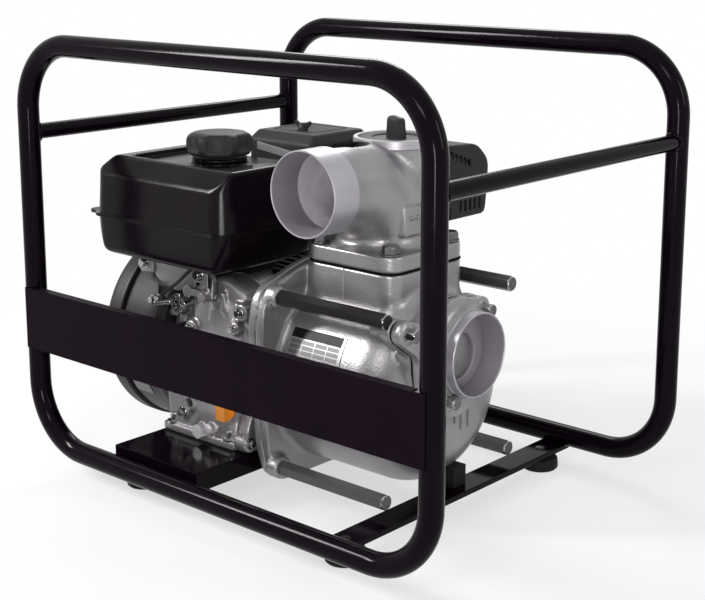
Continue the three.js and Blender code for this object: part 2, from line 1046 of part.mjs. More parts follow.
function primingPlug() {
  const seat = primingTop - plugFlangeThickness;
  const radius = primingBore / 2 - runningGap;
  const body = turned(
    "z",
    [
      [0, seat - plugSkirtDepth],
      [radius, seat - plugSkirtDepth],
      [radius, primingTop - plugFlangeThickness / 3],
      [radius - plugFlangeThickness / 3, primingTop],
      [0, primingTop],
    ],
    elbowCentreX,
    primingOffsetY,
  );
  const foot = primingTop - plugFlangeThickness / 2;
  const high = primingTop + plugWebHeight;
  const outline = roundedOutline([
    [elbowCentreX - plugWebLength / 2, foot],
    [elbowCentreX + plugWebLength / 2, foot],
    [elbowCentreX + plugWebLength / 2, high, plugWebThickness],
    [elbowCentreX - plugWebLength / 2, high, plugWebThickness],
  ]);
  const web = prism(
    "y",
    outline,
    primingOffsetY - plugWebThickness / 2,
    primingOffsetY + plugWebThickness / 2,
  );
  return join(body, web);
}

// A hexagon-headed bolt with its washer, standing on a face at z.
function flangeBolt([x, y]) {
  const washerTop = flangeTop + pieceGap + washerThickness;
  return join(
    rod("z", washerDiameter / 2, flangeTop + pieceGap, washerTop, x, y, smallSides),
    prism("z", hexagon(x, y, boltHeadAcross), washerTop, washerTop + boltHeadHeight),
  );
}

function hexBar([y, z]) {
  const start = adapterFrontX + pieceGap;
  const end = start + barLength;
  const bar = prism("x", hexagon(y, z, barAcrossFlats), start, end);
  const corner = barAcrossFlats / Math.sqrt(3);
  const chamfer = turned(
    "x",
    [
      [0, start],
      [2 * corner, start],
      [2 * corner, end - 2 * barEndChamfer],
      [corner - barEndChamfer, end + barEndChamfer / 2],
      [0, end + barEndChamfer / 2],
    ],
    y,
    z,
  );
  return bar.intersect(chamfer);
}

const voluteBackX = casingStartX + casingWall + pieceGap;

// A vane's outline: a spiral from the hub to the rim, with its thickness to both sides.
function vaneOutline(turn) {
  const inner = shaftDiameter / 2;
  const centre = new THREE.Vector2(0, shaftHeight);
  const outside = [];
  const inside = [];
  for (let i = 0; i <= vaneSteps; i += 1) {
    const share = i / vaneSteps;
    const radius = inner + (impellerRadius - inner) * share;
    const angle = turn + share * halfTurn * vaneWrapShare;
    const thickness = impellerVaneThickness / (i === vaneSteps ? 2 : 1);
    const out = new THREE.Vector2(Math.cos(angle), Math.sin(angle));
    outside.push(out.clone().multiplyScalar(radius).add(centre));
    inside.unshift(out.clone().multiplyScalar(radius - thickness).add(centre));
  }
  return new THREE.Shape([...outside, ...inside]);
}

function impeller() {
  const disc = rod(
    "x",
    impellerRadius,
    impellerX - impellerDiscThickness,
    impellerX,
    0,
    shaftHeight,
    fineSides,
  );
  const hub = rod(
    "x",
    impellerHubRadius,
    impellerX - impellerDiscThickness,
    impellerX + impellerVaneHeight,
    0,
    shaftHeight,
  );
  const vanes = [0, halfTurn].map((turn) =>
    prism(
      "x",
      vaneOutline(turn),
      impellerX - impellerDiscThickness / 2,
      impellerX + impellerVaneHeight,
    ),
  );
  const bore = rod(
    "x",
    shaftDiameter / 2 + pieceGap,
    impellerX - cutOverrun - impellerDiscThickness,
    impellerX + impellerVaneHeight / 2,
    0,
    shaftHeight,
  );
  return cut(join(disc, hub, ...vanes), bore);
}

function voluteRing() {
  const low = voluteBackX;
  const high = impellerX + impellerVaneHeight + runningGap + voluteThickness;
  const outerRadius = impellerRadius + runningGap + 2 * voluteThickness;
  const shell = rod("x", outerRadius, low, high, 0, shaftHeight, fineSides);
  const room = rod(
    "x",
    outerRadius - voluteThickness,
    low - cutOverrun,
    high - voluteThickness,
    0,
    shaftHeight,
    fineSides,
  );
  const eye = rod("x", voluteEye, low, high + cutOverrun, 0, shaftHeight);
  const outlet = block(
    neckCentreX - voluteDepth,
    high - voluteThickness,
    0,
    outerRadius,
    shaftHeight + impellerRadius / 2,
    shaftHeight + outerRadius + cutOverrun,
  );
  return cut(shell, room, eye, outlet);
}

function shaftSeal() {
  const low = adapterFrontX - sealLength / 2;
  const ring = rod("x", sealRadius, low, low + sealLength, 0, shaftHeight);
  const bore = rod(
    "x",
    shaftDiameter / 2 + runningGap / 2,
    low - cutOverrun,
    low + sealLength + cutOverrun,
    0,
    shaftHeight,
  );
  return cut(ring, bore);
}


function pump() {
  add("adapter_plate", adapterPlate(), castAluminium);
  add("pump_casing", casing(), castAluminium);
  add("casing_seam_gasket", seamGasket(), rubber);
  add("suction_cover", suctionCover(), castAluminium);
  add("check_valve_flap", checkFlap(), rubber);
  add("discharge_gasket", dischargeGasket(), rubber);
  add("discharge_elbow", dischargeElbow(), castAluminium);
  add("priming_plug", primingPlug(), greyPlastic);
  const barNames = ["front_low_bar", "front_high_bar", "rear_low_bar", "rear_high_bar"];
  barPlaces.forEach((place, i) => add(barNames[i], hexBar(place), brightSteel));
  flangeBoltPlaces.forEach((place, i) => {
    add(`elbow_bolt_${i + 1}`, flangeBolt(place), brightSteel);
  });
  add("impeller", impeller(), darkIron);
  add("volute_ring", voluteRing(), darkIron);
  add("shaft_seal", shaftSeal(), ceramic);
}

// Engine: crankcase with its end cover, slanted finned cylinder, blower housing and starter.
const crankcaseStartX = crankcaseEndX - crankcaseLength;
const engineBottom = panTop + pieceGap;

function crankcaseOutline(inset) {
  const half = crankcaseHalfWidth - inset;
  const front = sumpHalfWidth - inset;
  const base = engineBottom + inset;
  const sump = engineBottom + sumpHeight;
  const shoulder = sump + sumpHeight / 2;
  const top = crankcaseTop - inset;
  const flat = half - sumpRise;
  return roundedOutline([
    [-front, base],
    [half, base],
    [half, top - 2 * sumpRise, engineBaseHeight],
    [flat, top, engineBaseHeight],
    [-flat, top, engineBaseHeight],
    [-half, top - sumpRise, engineBaseHeight],
    [-half, shoulder, engineBaseHeight],
    [-front, sump - sumpRise, sumpRise],
  ]);
}

const tilt = THREE.MathUtils.degToRad(cylinderTiltDegrees);
const headStart = cylinderStart + cylinderLength + pieceGap;
const rockerStart = headStart + headLength + pieceGap;

// Moves a body made along +Z from the shaft line onto the slanted cylinder axis.
function slanted(body) {
  const turn = new THREE.Matrix4()
    .makeTranslation(cylinderCentreX, 0, shaftHeight)
    .multiply(new THREE.Matrix4().makeRotationX(-(quarterTurn - tilt)));
  return body.transform(turn.elements);
}

function centredBlock(width, depth, low, high) {
  return block(-width / 2, width / 2, -depth / 2, depth / 2, low, high);
}

function crankcase() {
  const outside = prism("x", crankcaseOutline(0), crankcaseStartX, crankcaseEndX);
  const inside = prism(
    "x",
    crankcaseOutline(crankcaseWall),
    crankcaseStartX + crankcaseWall,
    crankcaseEndX + cutOverrun,
  );
  const bearing = rod(
    "x",
    shaftDiameter / 2 + runningGap,
    crankcaseStartX - cutOverrun,
    crankcaseStartX + crankcaseWall + cutOverrun,
    0,
    shaftHeight,
  );
  const cylinderSeat = slanted(
    centredBlock(
      cylinderWidth + 2 * pieceGap,
      cylinderWidth + 2 * pieceGap,
      cylinderStart - pieceGap,
      rockerStart + rockerLength,
    ),
  );
  const boreRadius = cylinderBore / 2 + crankcaseWall;
  const boreHole = slanted(rod("z", boreRadius, 0, cylinderStart + cutOverrun, 0, 0));
  const fillerBoss = rod(
    "y",
    oilPlugDiameter / 2,
    oilPlugFaceY,
    2 * crankcaseWall - crankcaseHalfWidth,
    oilPlugX,
    oilPlugZ,
  );
  const fillerHole = rod(
    "y",
    oilPlugStem + runningGap,
    oilPlugFaceY - cutOverrun,
    cutOverrun + 2 * crankcaseWall - crankcaseHalfWidth,
    oilPlugX,
    oilPlugZ,
    smallSides,
  );
  const shell = cut(join(cut(outside, inside), fillerBoss), fillerHole);
  return largest(cut(shell, bearing, cylinderSeat, boreHole));
}

const oilPlugStem = oilPlugDiameter / 2 - leverThickness;

function oilPlug() {
  const face = oilPlugFaceY - pieceGap;
  const half = leverThickness / 2;
  const stem = rod(
    "y",
    oilPlugStem,
    face - cutOverrun,
    face + 2 * crankcaseWall,
    oilPlugX,
    oilPlugZ,
    smallSides,
  );
  const head = rod("y", oilPlugDiameter / 2, face - crankcaseWall, face, oilPlugX, oilPlugZ);
  const grip = block(
    oilPlugX - oilPlugDiameter / 3,
    oilPlugX + oilPlugDiameter / 3,
    face - 2 * crankcaseWall,
    face - crankcaseWall / 2,
    oilPlugZ - half,
    oilPlugZ + half,
  );
  return join(stem, head, grip);
}

function oilDrainBolt() {
  const face = -sumpHalfWidth - pieceGap;
  const collar = face - washerThickness;
  return join(
    rod("y", washerDiameter / 2, collar, face, drainBoltX, drainBoltZ, smallSides),
    prism("y", hexagon(drainBoltX, drainBoltZ, boltHeadAcross), collar - boltHeadHeight, collar),
  );
}

function engineSwitch() {
  const face = -crankcaseHalfWidth - pieceGap;
  const knob = rod("y", switchDiameter / 2, face - switchReach, face, switchX, switchZ);
  const grip = block(
    switchX - leverThickness / 2,
    switchX + leverThickness / 2,
    face - 2 * switchReach,
    face - switchReach / 2,
    switchZ - switchDiameter / 3,
    switchZ + switchDiameter / 2,
  );
  return join(knob, grip);
}

function caseCover() {
  const low = crankcaseEndX + pieceGap;
  const plate = prism("x", crankcaseOutline(0), low, coverOuterX);
  const bore = rod(
    "x",
    shaftDiameter / 2 + runningGap,
    low - cutOverrun,
    coverOuterX + cutOverrun,
    0,
    shaftHeight,
  );
  const seat = slanted(
    centredBlock(
      2 * crankcaseLength,
      cylinderWidth + 2 * pieceGap,
      cylinderStart - pieceGap,
      rockerStart + rockerLength,
    ),
  );
  return largest(cut(plate, bore, seat));
}

// Fins are a stack of grooves cut into the four sides of a block.
function finned(width, low, high, coreWidth) {
  let body = centredBlock(width, width, low, high);
  const pitch = finGap + finThickness;
  const grooves = Math.floor((high - low - finThickness) / pitch);
  for (let i = 0; i < grooves; i += 1) {
    const start = low + finThickness + i * pitch;
    const ring = cut(
      centredBlock(width + cutOverrun, width + cutOverrun, start, start + finGap),
      centredBlock(coreWidth, coreWidth, start - cutOverrun, start + finGap + cutOverrun),
    );
    body = cut(body, ring);
  }
  return body;
}

function cylinder() {
  const end = cylinderStart + cylinderLength;
  const barrel = finned(cylinderWidth, cylinderStart, end, cylinderWidth - 2 * finDepth);
  const bore = rod("z", cylinderBore / 2, cylinderStart - cutOverrun, end + cutOverrun, 0, 0);
  return slanted(cut(barrel, bore));
}

const sparkPlugOffset = cylinderWidth / 2;

function head() {
  const end = headStart + headLength;
  const body = finned(cylinderWidth, headStart, end, cylinderWidth - 2 * finDepth);
  const chamber = rod(
    "z",
    cylinderBore / 2 - finThickness,
    headStart - cutOverrun,
    headStart + finThickness,
    0,
    0,
  );
  return slanted(cut(body, chamber));
}

function headCover() {
  const inset = finDepth / 2;
  const width = cylinderWidth - 2 * inset;
  const body = prism(
    "z",
    roundedRectangle(-width / 2, width / 2, -width / 2, width / 2, finDepth),
    rockerStart,
    rockerStart + rockerLength,
  );
  return slanted(body);
}

function sparkPlug() {
  const z = headStart + headLength / 2;
  const low = -sparkPlugOffset - pieceGap;
  const hexPart = prism("x", hexagon(0, z, boltHeadAcross), low - boltHeadHeight, low);
  const tip = rod(
    "x",
    boltHeadAcross / 3,
    low - 3 * boltHeadHeight,
    low - boltHeadHeight / 2,
    0,
    z,
    smallSides,
  );
  return slanted(join(hexPart, tip));
}

// Crank train: throw at rest pointing along the cylinder, rod and piston at the top of the stroke.
const webInnerX = crankPinWidth / 2;
const webOuterX = webInnerX + crankWebThickness;
const crankGearX = crankcaseEndX - crankcaseWall - gearWidth;

function crankshaft() {
  const start = housingBackX - housingDepth + housingWall;
  const left = rod("x", shaftDiameter / 2, start, cylinderCentreX - webInnerX, 0, shaftHeight);
  const right = rod(
    "x",
    shaftDiameter / 2,
    cylinderCentreX + webInnerX,
    impellerX + impellerVaneHeight / 2 - pieceGap,
    0,
    shaftHeight,
  );
  const pinY = crankThrow * Math.cos(tilt);
  const pinZ = shaftHeight + crankThrow * Math.sin(tilt);
  const pin = rod(
    "x",
    crankPinDiameter / 2,
    cylinderCentreX - webOuterX,
    cylinderCentreX + webOuterX,
    pinY,
    pinZ,
  );
  const webs = [-1, 1].map((side) => {
    const a = cylinderCentreX + side * webInnerX;
    const b = cylinderCentreX + side * webOuterX;
    return rod("x", crankWebRadius, Math.min(a, b), Math.max(a, b), 0, shaftHeight);
  });
  const gear = prism(
    "x",
    gearOutline(crankGearTeeth, 0, shaftHeight, meshAngle),
    crankGearX,
    crankGearX + gearWidth,
  );
  return join(left, right, pin, ...webs, gear);
}

// The gears mesh on the line between their centres: a tooth of one in a space of the other.
const camGearTeeth = 2 * crankGearTeeth;
const camDistance = (gearModule * (crankGearTeeth + camGearTeeth)) / 2;
const meshAngle = THREE.MathUtils.degToRad(camDipDegrees) - halfTurn;
const camOffsetY = camDistance * Math.cos(meshAngle);
const camOffsetZ = camDistance * Math.sin(meshAngle);

function gearOutline(teeth, y, z, toothAngle) {
  const pitchRadius = (gearModule * teeth) / 2;
  const tip = pitchRadius + gearModule - gearBacklash / 2;
  const root = pitchRadius - gearModule * toothRootDepthShare;
  const pitchTurn = fullTurn / teeth;
  const points = [];
  const stations = [
    [root, -toothRootShare],
    [tip, -toothTipShare],
    [tip, toothTipShare],
    [root, toothRootShare],
  ];
  for (let i = 0; i < teeth; i += 1) {
    for (const [radius, share] of stations) {
      const angle = toothAngle + (i + share) * pitchTurn;
      points.push(
        new THREE.Vector2(y + radius * Math.cos(angle), z + radius * Math.sin(angle)),
      );
    }
  }
  return new THREE.Shape(points);
}

function camshaft() {
  const z = shaftHeight + camOffsetZ;
  const start = crankcaseStartX + crankcaseWall + pieceGap;
  const end = crankcaseEndX - pieceGap;
  const shaft = rod("x", camShaftDiameter / 2, start, end, camOffsetY, z);
  const gear = prism(
    "x",
    gearOutline(camGearTeeth, camOffsetY, z, meshAngle + halfTurn + halfTurn / camGearTeeth),
    crankGearX,
    crankGearX + gearWidth,
  );
  return join(shaft, gear);
}

// The crank pin can't carry the rod round, so the big end is cut clear of the pin's whole path.
function connectingRod() {
  const wristZ = crankThrow + rodLength - pistonHeight / 2;
  const half = crankPinWidth / 2 - runningGap;
  const bigEnd = rod("x", rodBigEnd / 2, -half, half, 0, crankThrow);
  const smallEnd = rod("x", rodSmallEnd / 2, -half, half, 0, wristZ);
  const beam = centredBlock(half, rodSmallEnd / 2, crankThrow, wristZ);
  const reach = half + cutOverrun;
  const pinPath = crankThrow + crankPinDiameter / 2 + 2 * runningGap;
  const clearance = rod("x", pinPath, -reach, reach, 0, 0, fineSides);
  return slanted(largest(cut(join(bigEnd, smallEnd, beam), clearance)));
}

function piston() {
  const top = crankThrow + rodLength;
  const radius = cylinderBore / 2 - runningGap;
  const crown = rod("z", radius, top - pistonHeight, top, 0, 0);
  const wall = finThickness;
  const inside = rod("z", radius - wall, top - pistonHeight - cutOverrun, top - wall, 0, 0);
  return slanted(cut(crown, inside));
}

const housingBackX = crankcaseStartX - pieceGap;
const flywheelBackX = housingBackX - flywheelSetback;
const flywheelFrontX = flywheelBackX - flywheelThickness;
const housingFrontX = housingBackX - housingDepth;

function flywheel() {
  const disc = rod("x", flywheelRadius, flywheelFrontX, flywheelBackX, 0, shaftHeight, fineSides);
  const bore = rod(
    "x",
    shaftDiameter / 2 + pieceGap,
    flywheelFrontX - cutOverrun,
    flywheelBackX + cutOverrun,
    0,
    shaftHeight,
  );
  const fins = [];
  for (let i = 0; i < fanFinCount; i += 1) {
    const angle = (fullTurn * i) / fanFinCount;
    const fin = new THREE.BoxGeometry(
      fanFinHeight + pieceGap,
      fanFinLength,
      housingWall * 2,
    );
    fin.translate(flywheelFrontX - fanFinHeight / 2 + pieceGap / 2, fanFinCentre, 0);
    fin.rotateX(angle);
    fin.translate(0, 0, shaftHeight);
    fins.push(solid(fin));
  }
  return cut(join(disc, ...fins), bore);
}

// The housing: a drum round the flywheel, run on as a duct towards the cylinder.
function housingOutline(inset) {
  const radius = housingRadius - inset;
  const points = [];
  for (let i = 0; i <= fineSides; i += 1) {
    const angle = ductAngle + ((fullTurn - 2 * ductAngle) * i) / fineSides;
    points.push([radius * Math.cos(angle), shaftHeight + radius * Math.sin(angle)]);
  }
  const [, lastZ] = points[points.length - 1];
  points.push([ductReach - inset, lastZ], [ductReach - inset, housingTop - inset]);
  return new THREE.Shape(points.map(([y, z]) => new THREE.Vector2(y, z)));
}

function blowerHousing() {
  const shell = prism("x", housingOutline(0), housingFrontX, housingBackX);
  const room = prism(
    "x",
    housingOutline(housingWall),
    housingFrontX + housingWall,
    housingBackX + cutOverrun,
  );
  const intake = rod(
    "x",
    intakeRadius,
    housingFrontX - cutOverrun,
    housingBackX,
    0,
    shaftHeight,
    fineSides,
  );
  const lid = block(
    housingFrontX,
    housingBackX,
    -ductHalf,
    ductReach,
    housingTop - housingWall,
    housingTop,
  );
  return join(cut(shell, room, intake, aboveHousing()), lid);
}

// The space over the housing and the starter that the tank needs.
function aboveHousing() {
  return block(-loopLength, loopLength, -loopWidth, loopWidth, housingTop, loopLength);
}

const recoilBackX = housingFrontX - pieceGap;
const recoilFrontX = recoilBackX - recoilDepth;

function recoilCover() {
  const shell = turned(
    "x",
    [
      [0, recoilFrontX],
      [recoilRadius - recoilRim, recoilFrontX],
      [recoilRadius, recoilFrontX + recoilRim],
      [recoilRadius, recoilBackX],
      [0, recoilBackX],
    ],
    0,
    shaftHeight,
    fineSides,
  );
  const room = rod(
    "x",
    recoilRadius - recoilRim - recoilWall,
    recoilFrontX + recoilWall,
    recoilBackX + cutOverrun,
    0,
    shaftHeight,
    fineSides,
  );
  const slots = [];
  for (let i = 0; i < ventCount; i += 1) {
    const slot = new THREE.BoxGeometry(recoilDepth, ventLength, ventWidth);
    slot.translate(recoilFrontX, ventCentre, 0);
    slot.rotateX((fullTurn * (i + 1 / 2)) / ventCount);
    slot.translate(0, 0, shaftHeight);
    slots.push(solid(slot));
  }
  const axle = rod(
    "x",
    shaftDiameter / 3,
    recoilFrontX,
    recoilBackX - recoilWall,
    0,
    shaftHeight,
    smallSides,
  );
  return join(cut(shell, room, aboveHousing(), ...slots), axle);
}

function starterReel() {
  const low = recoilBackX - reelThickness - recoilWall;
  const high = low + reelThickness;
  const bore = shaftDiameter / 3 + runningGap;
  const groove = reelRadius - recoilRim;
  return turned(
    "x",
    [
      [bore, low],
      [reelRadius, low],
      [reelRadius, low + recoilWall],
      [groove, low + 2 * recoilWall],
      [groove, high - 2 * recoilWall],
      [reelRadius, high - recoilWall],
      [reelRadius, high],
      [bore, high],
      [bore, low],
    ],
    0,
    shaftHeight,
  );
}

// Fuel tank: two pressed halves that meet in a flat lip, a filler neck and a screwed cap.
function tankPlan(grow) {
  return roundedRectangle(
    tankLeftX - grow,
    tankRightX + grow,
    tankFrontY - grow,
    tankBackY + grow,
    tankCornerRadius,
  );
}

// The upper half: a front slope and a left slope under a flat top with a shallow recess.
function tankUpper() {
  const drum = prism("z", tankPlan(0), tankSeam, tankTop);
  const lip = prism("z", tankPlan(tankLip), tankSeam, tankSeam + tankLipThickness);
  const under = tankSeam - cutOverrun;
  const shoulder = tankTop - tankSlopeDrop;
  const left = tankLeftX - cutOverrun;
  const right = tankRightX + cutOverrun;
  const front = tankFrontY - cutOverrun;
  const back = tankBackY + cutOverrun;
  const lengthView = roundedOutline([
    [left, under],
    [right, under],
    [right, tankTop + cutOverrun],
    [right - cutOverrun - tankEdgeRound, tankTop, tankEdgeRound],
    [tankLeftX + tankSlopeWidth, tankTop, tankEdgeRound],
    [tankLeftX, shoulder, tankEdgeRound],
    [left, shoulder - tankEdgeRound],
  ]);
  const widthView = roundedOutline([
    [front, under],
    [back, under],
    [back, shoulder],
    [tankBackY - tankSlopeWidth, tankTop, tankEdgeRound],
    [tankFrontY + tankSlopeWidth, tankTop, tankEdgeRound],
    [tankFrontY, shoulder, tankEdgeRound],
    [front, shoulder - tankEdgeRound],
  ]);
  const outside = join(drum, lip)
    .intersect(prism("y", lengthView, front, back))
    .intersect(prism("x", widthView, left, right));
  const recess = prism(
    "z",
    roundedRectangle(
      recessLowX,
      recessHighX,
      recessLowY,
      tankBackY + tankCornerRadius,
      tankCornerRadius,
    ),
    tankTop - recessDepth,
    tankTop + cutOverrun,
  );
  const room = prism(
    "z",
    roundedRectangle(
      tankLeftX + tankWall + tankCornerRadius / 2,
      tankRightX - tankWall - tankCornerRadius / 2,
      tankFrontY + tankWall + tankCornerRadius / 2,
      tankBackY - tankWall - tankCornerRadius / 2,
      tankCornerRadius,
    ),
    under,
    shoulder,
  );
  const neck = rod("z", fillerDiameter / 2, shoulder, fillerTop, capX, capY);
  const bore = rod(
    "z",
    fillerDiameter / 2 - tankWall,
    tankSeam,
    fillerTop + cutOverrun,
    capX,
    capY,
  );
  return cut(join(cut(outside, recess), neck), room, bore);
}

const fillerTop = tankTop + capRise + capHeight / 2;

function tankLower() {
  const rim = tankSeam - pieceGap;
  const drum = prism("z", tankPlan(0), tankBottom, rim);
  const lip = prism("z", tankPlan(tankLip), rim - tankLipThickness, rim);
  const left = tankLeftX - cutOverrun;
  const right = tankRightX + cutOverrun;
  const front = tankFrontY - cutOverrun;
  const back = tankBackY + cutOverrun;
  const over = rim + cutOverrun;
  const lengthView = roundedOutline([
    [left, over],
    [left, tankBottom + tankEndSlope],
    [tankLeftX, tankBottom + tankEndSlope, tankEdgeRound],
    [tankLeftX + tankEndSlope / 2, tankBottom, tankEdgeRound],
    [tankRightX - tankEndSlope / 2, tankBottom, tankEdgeRound],
    [tankRightX, tankBottom + tankEndSlope, tankEdgeRound],
    [right, tankBottom + tankEndSlope],
    [right, over],
  ]);
  const room = prism(
    "z",
    roundedRectangle(
      tankLeftX + tankEndSlope,
      tankRightX - tankEndSlope,
      tankFrontY + 2 * tankWall,
      tankBackY - 2 * tankWall,
      tankCornerRadius,
    ),
    tankBottom + 2 * tankWall,
    over,
  );
  return cut(join(drum, lip).intersect(prism("y", lengthView, front, back)), room);
}

function fuelCap() {
  const low = tankTop + capRise;
  const top = low + capHeight;
  const radius = capDiameter / 2;
  const shell = turned(
    "z",
    [
      [0, low],
      [radius - capRound / 2, low],
      [radius, low + capRound / 2],
      [radius, top - capRound],
      [radius - capRound, top],
      [0, top],
    ],
    capX,
    capY,
    fineSides,
  );
  const room = rod(
    "z",
    fillerDiameter / 2 + runningGap,
    low - cutOverrun,
    fillerTop + pieceGap,
    capX,
    capY,
  );
  const grips = [];
  for (let i = 0; i < capGripCount; i += 1) {
    const angle = (fullTurn * (i + 1 / 2)) / capGripCount;
    const out = radius + capRound / 2;
    grips.push(
      rod(
        "z",
        capRound,
        low + capRound,
        top + cutOverrun,
        capX + out * Math.cos(angle),
        capY + out * Math.sin(angle),
        smallSides,
      ),
    );
  }
  return cut(shell, room, ...grips);
}

// The bracket that carries the tank: a folded strip on the crankcase with a pad at each end.
function tankBracket() {
  const low = crankcaseTop + pieceGap;
  const top = tankBottom - pieceGap;
  const face = bracketFrontY + sheetThickness;
  const sheet = block(bracketLowX, bracketHighX, bracketFrontY, face, low, top);
  const window = block(
    bracketLowX + bracketPad,
    bracketHighX - bracketPad,
    bracketFrontY - cutOverrun,
    face + cutOverrun,
    low + bracketStrip,
    top + cutOverrun,
  );
  const pads = [bracketLowX, bracketHighX - bracketPad].map((x) =>
    block(x, x + bracketPad, bracketFrontY, bracketFrontY + bracketPad, top - sheetThickness, top),
  );
  const base = block(
    crankcaseStartX + bracketPad,
    bracketHighX,
    bracketFrontY,
    bracketBackY,
    low,
    low + sheetThickness,
  );
  const pinHole = rod(
    "y",
    leverPinDiameter / 2 + pieceGap,
    bracketFrontY - cutOverrun,
    face + cutOverrun,
    throttleX,
    throttleZ,
    smallSides,
  );
  return cut(join(cut(sheet, window), ...pads, base), pinHole);
}

function throttleLever() {
  const back = bracketFrontY - pieceGap;
  const front = back - leverThickness;
  const half = leverWidth / 2;
  const hub = rod("y", leverWidth, front, back, throttleX, throttleZ, smallSides);
  const pinEnd = back + pieceGap + 2 * sheetThickness;
  const pin = rod("y", leverPinDiameter / 2, front, pinEnd, throttleX, throttleZ, smallSides);
  const arm = block(
    throttleX,
    throttleX + leverLength,
    front,
    back,
    throttleZ - half,
    throttleZ + half,
  );
  const knob = rod(
    "y",
    knobDiameter / 2,
    front - knobDiameter,
    back,
    throttleX + leverLength,
    throttleZ,
    smallSides,
  );
  return join(hub, pin, arm, knob);
}

// Air cleaner on the carburettor, behind the tank.
const airLowX = airBoxX - airBoxLength / 2;
const airHighX = airBoxX + airBoxLength / 2;
const airLowY = airBoxY - airBoxWidth / 2;
const airHighY = airBoxY + airBoxWidth / 2;
const airSeam = airBoxTop - airCoverHeight;
const airBottom = airSeam - pieceGap - airBaseHeight;

function airPlan(inset) {
  return roundedRectangle(
    airLowX + inset,
    airHighX - inset,
    airLowY + inset,
    airHighY - inset,
    airBoxRound,
  );
}

function airBody(inset, low, top) {
  const shoulder = top - airChamfer;
  return wasm.Manifold.hull([
    prism("z", airPlan(inset), low, shoulder),
    prism("z", airPlan(inset + airChamfer), shoulder, top),
  ]);
}

function airCleanerCover() {
  const shell = airBody(0, airSeam, airBoxTop);
  const room = airBody(airWall, airSeam - cutOverrun, airBoxTop - airWall);
  const hole = rod(
    "z",
    studDiameter / 2 + pieceGap,
    airSeam,
    airBoxTop + cutOverrun,
    studX,
    studY,
    smallSides,
  );
  return cut(shell, room, hole);
}

function airCleanerBase() {
  const rim = airSeam - pieceGap;
  const tray = prism("z", airPlan(airLedge), airBottom, rim);
  const plate = prism("z", airPlan(0), rim - airWall, rim);
  const room = prism("z", airPlan(airLedge + airWall), airBottom + airWall, rim + cutOverrun);
  const inlet = rod(
    "z",
    bowlDiameter / 2,
    airBottom - cutOverrun,
    airBottom + cutOverrun,
    airBoxX,
    airBoxY + airBoxRound,
  );
  const stud = rod(
    "z",
    studDiameter / 2,
    airBottom,
    airBoxTop + wingNutHeight / 2,
    studX,
    studY,
    smallSides,
  );
  return join(cut(join(tray, plate), room, inlet), stud);
}

function filterElement() {
  const inset = airLedge + 2 * airWall;
  const low = airBottom + airWall + pieceGap;
  const high = airBoxTop - airChamfer - airWall;
  const inner = inset + airBoxRound;
  return cut(
    prism("z", airPlan(inset), low, high),
    prism("z", airPlan(inner), low - cutOverrun, high + cutOverrun),
  );
}

function wingNut() {
  const low = airBoxTop + pieceGap;
  const high = low + wingNutHeight;
  const hubTop = low + (2 * wingNutHeight) / 3;
  const hub = rod("z", wingNutHub / 2, low, hubTop, studX, studY, smallSides);
  const half = leverThickness / 2;
  const wings = [-1, 1].map((side) =>
    prism(
      "y",
      new THREE.Shape([
        new THREE.Vector2(studX + (side * wingNutHub) / 4, low + half),
        new THREE.Vector2(studX + (side * wingNutSpan) / 2, high - wingNutHeight / 3),
        new THREE.Vector2(studX + (side * wingNutSpan) / 2, high),
        new THREE.Vector2(studX + (side * wingNutHub) / 3, high - wingNutHeight / 3),
      ]),
      studY - half,
      studY + half,
    ),
  );
  const bore = rod(
    "z",
    studDiameter / 2 + pieceGap,
    low - cutOverrun,
    high + cutOverrun,
    studX,
    studY,
    smallSides,
  );
  return cut(join(hub, ...wings), bore);
}

function carburettor() {
  const half = carburettorSide / 2;
  const top = airBottom - pieceGap;
  const body = block(
    airBoxX - half,
    airBoxX + half,
    airBoxY - half,
    airBoxY + half,
    top - carburettorHeight,
    top,
  );
  const bowl = rod(
    "z",
    bowlDiameter / 2,
    bowlBottom,
    top - carburettorHeight / 2,
    airBoxX,
    airBoxY,
  );
  // The intake pipe stands on the slanted cylinder, which trims its foot.
  const pipe = rod(
    "z",
    bowlDiameter / 3,
    bowlBottom - bowlDiameter,
    bowlBottom + cutOverrun,
    airBoxX,
    airBoxY,
    smallSides,
  );
  const width = cylinderWidth + 2 * pieceGap;
  const seat = slanted(centredBlock(width, width, 0, rockerStart));
  const throat = rod(
    "z",
    bowlDiameter / 3,
    top - carburettorHeight / 2,
    top + cutOverrun,
    airBoxX,
    airBoxY + airBoxRound / 2,
    smallSides,
  );
  return largest(cut(join(body, bowl, pipe), throat, seat));
}

function chokeLever() {
  const high = airBoxX - carburettorSide / 2 - pieceGap;
  const low = high - leverThickness;
  const half = leverWidth / 2;
  const hub = rod("x", half + leverThickness / 2, low, high, airBoxY, chokeZ, smallSides);
  const arm = block(low, high, airBoxY - chokeLength, airBoxY, chokeZ - half, chokeZ + half);
  const tab = block(
    low - knobDiameter,
    high,
    airBoxY - chokeLength - leverThickness,
    airBoxY - chokeLength,
    chokeZ - half,
    chokeZ + half,
  );
  return join(hub, arm, tab);
}

// Muffler beside the air cleaner, inside a sheet guard that is open below.
function guardOutline(inset) {
  const top = mufflerTop - inset;
  const back = mufflerBackY - inset;
  const bottom = inset > 0 ? mufflerBottom - cutOverrun : mufflerBottom;
  return new THREE.Shape([
    new THREE.Vector2(mufflerFrontY + inset, bottom),
    new THREE.Vector2(back, bottom),
    new THREE.Vector2(back, top - guardChamferZ),
    new THREE.Vector2(back - guardChamferY, top),
    new THREE.Vector2(mufflerFrontY + inset, top),
  ]);
}

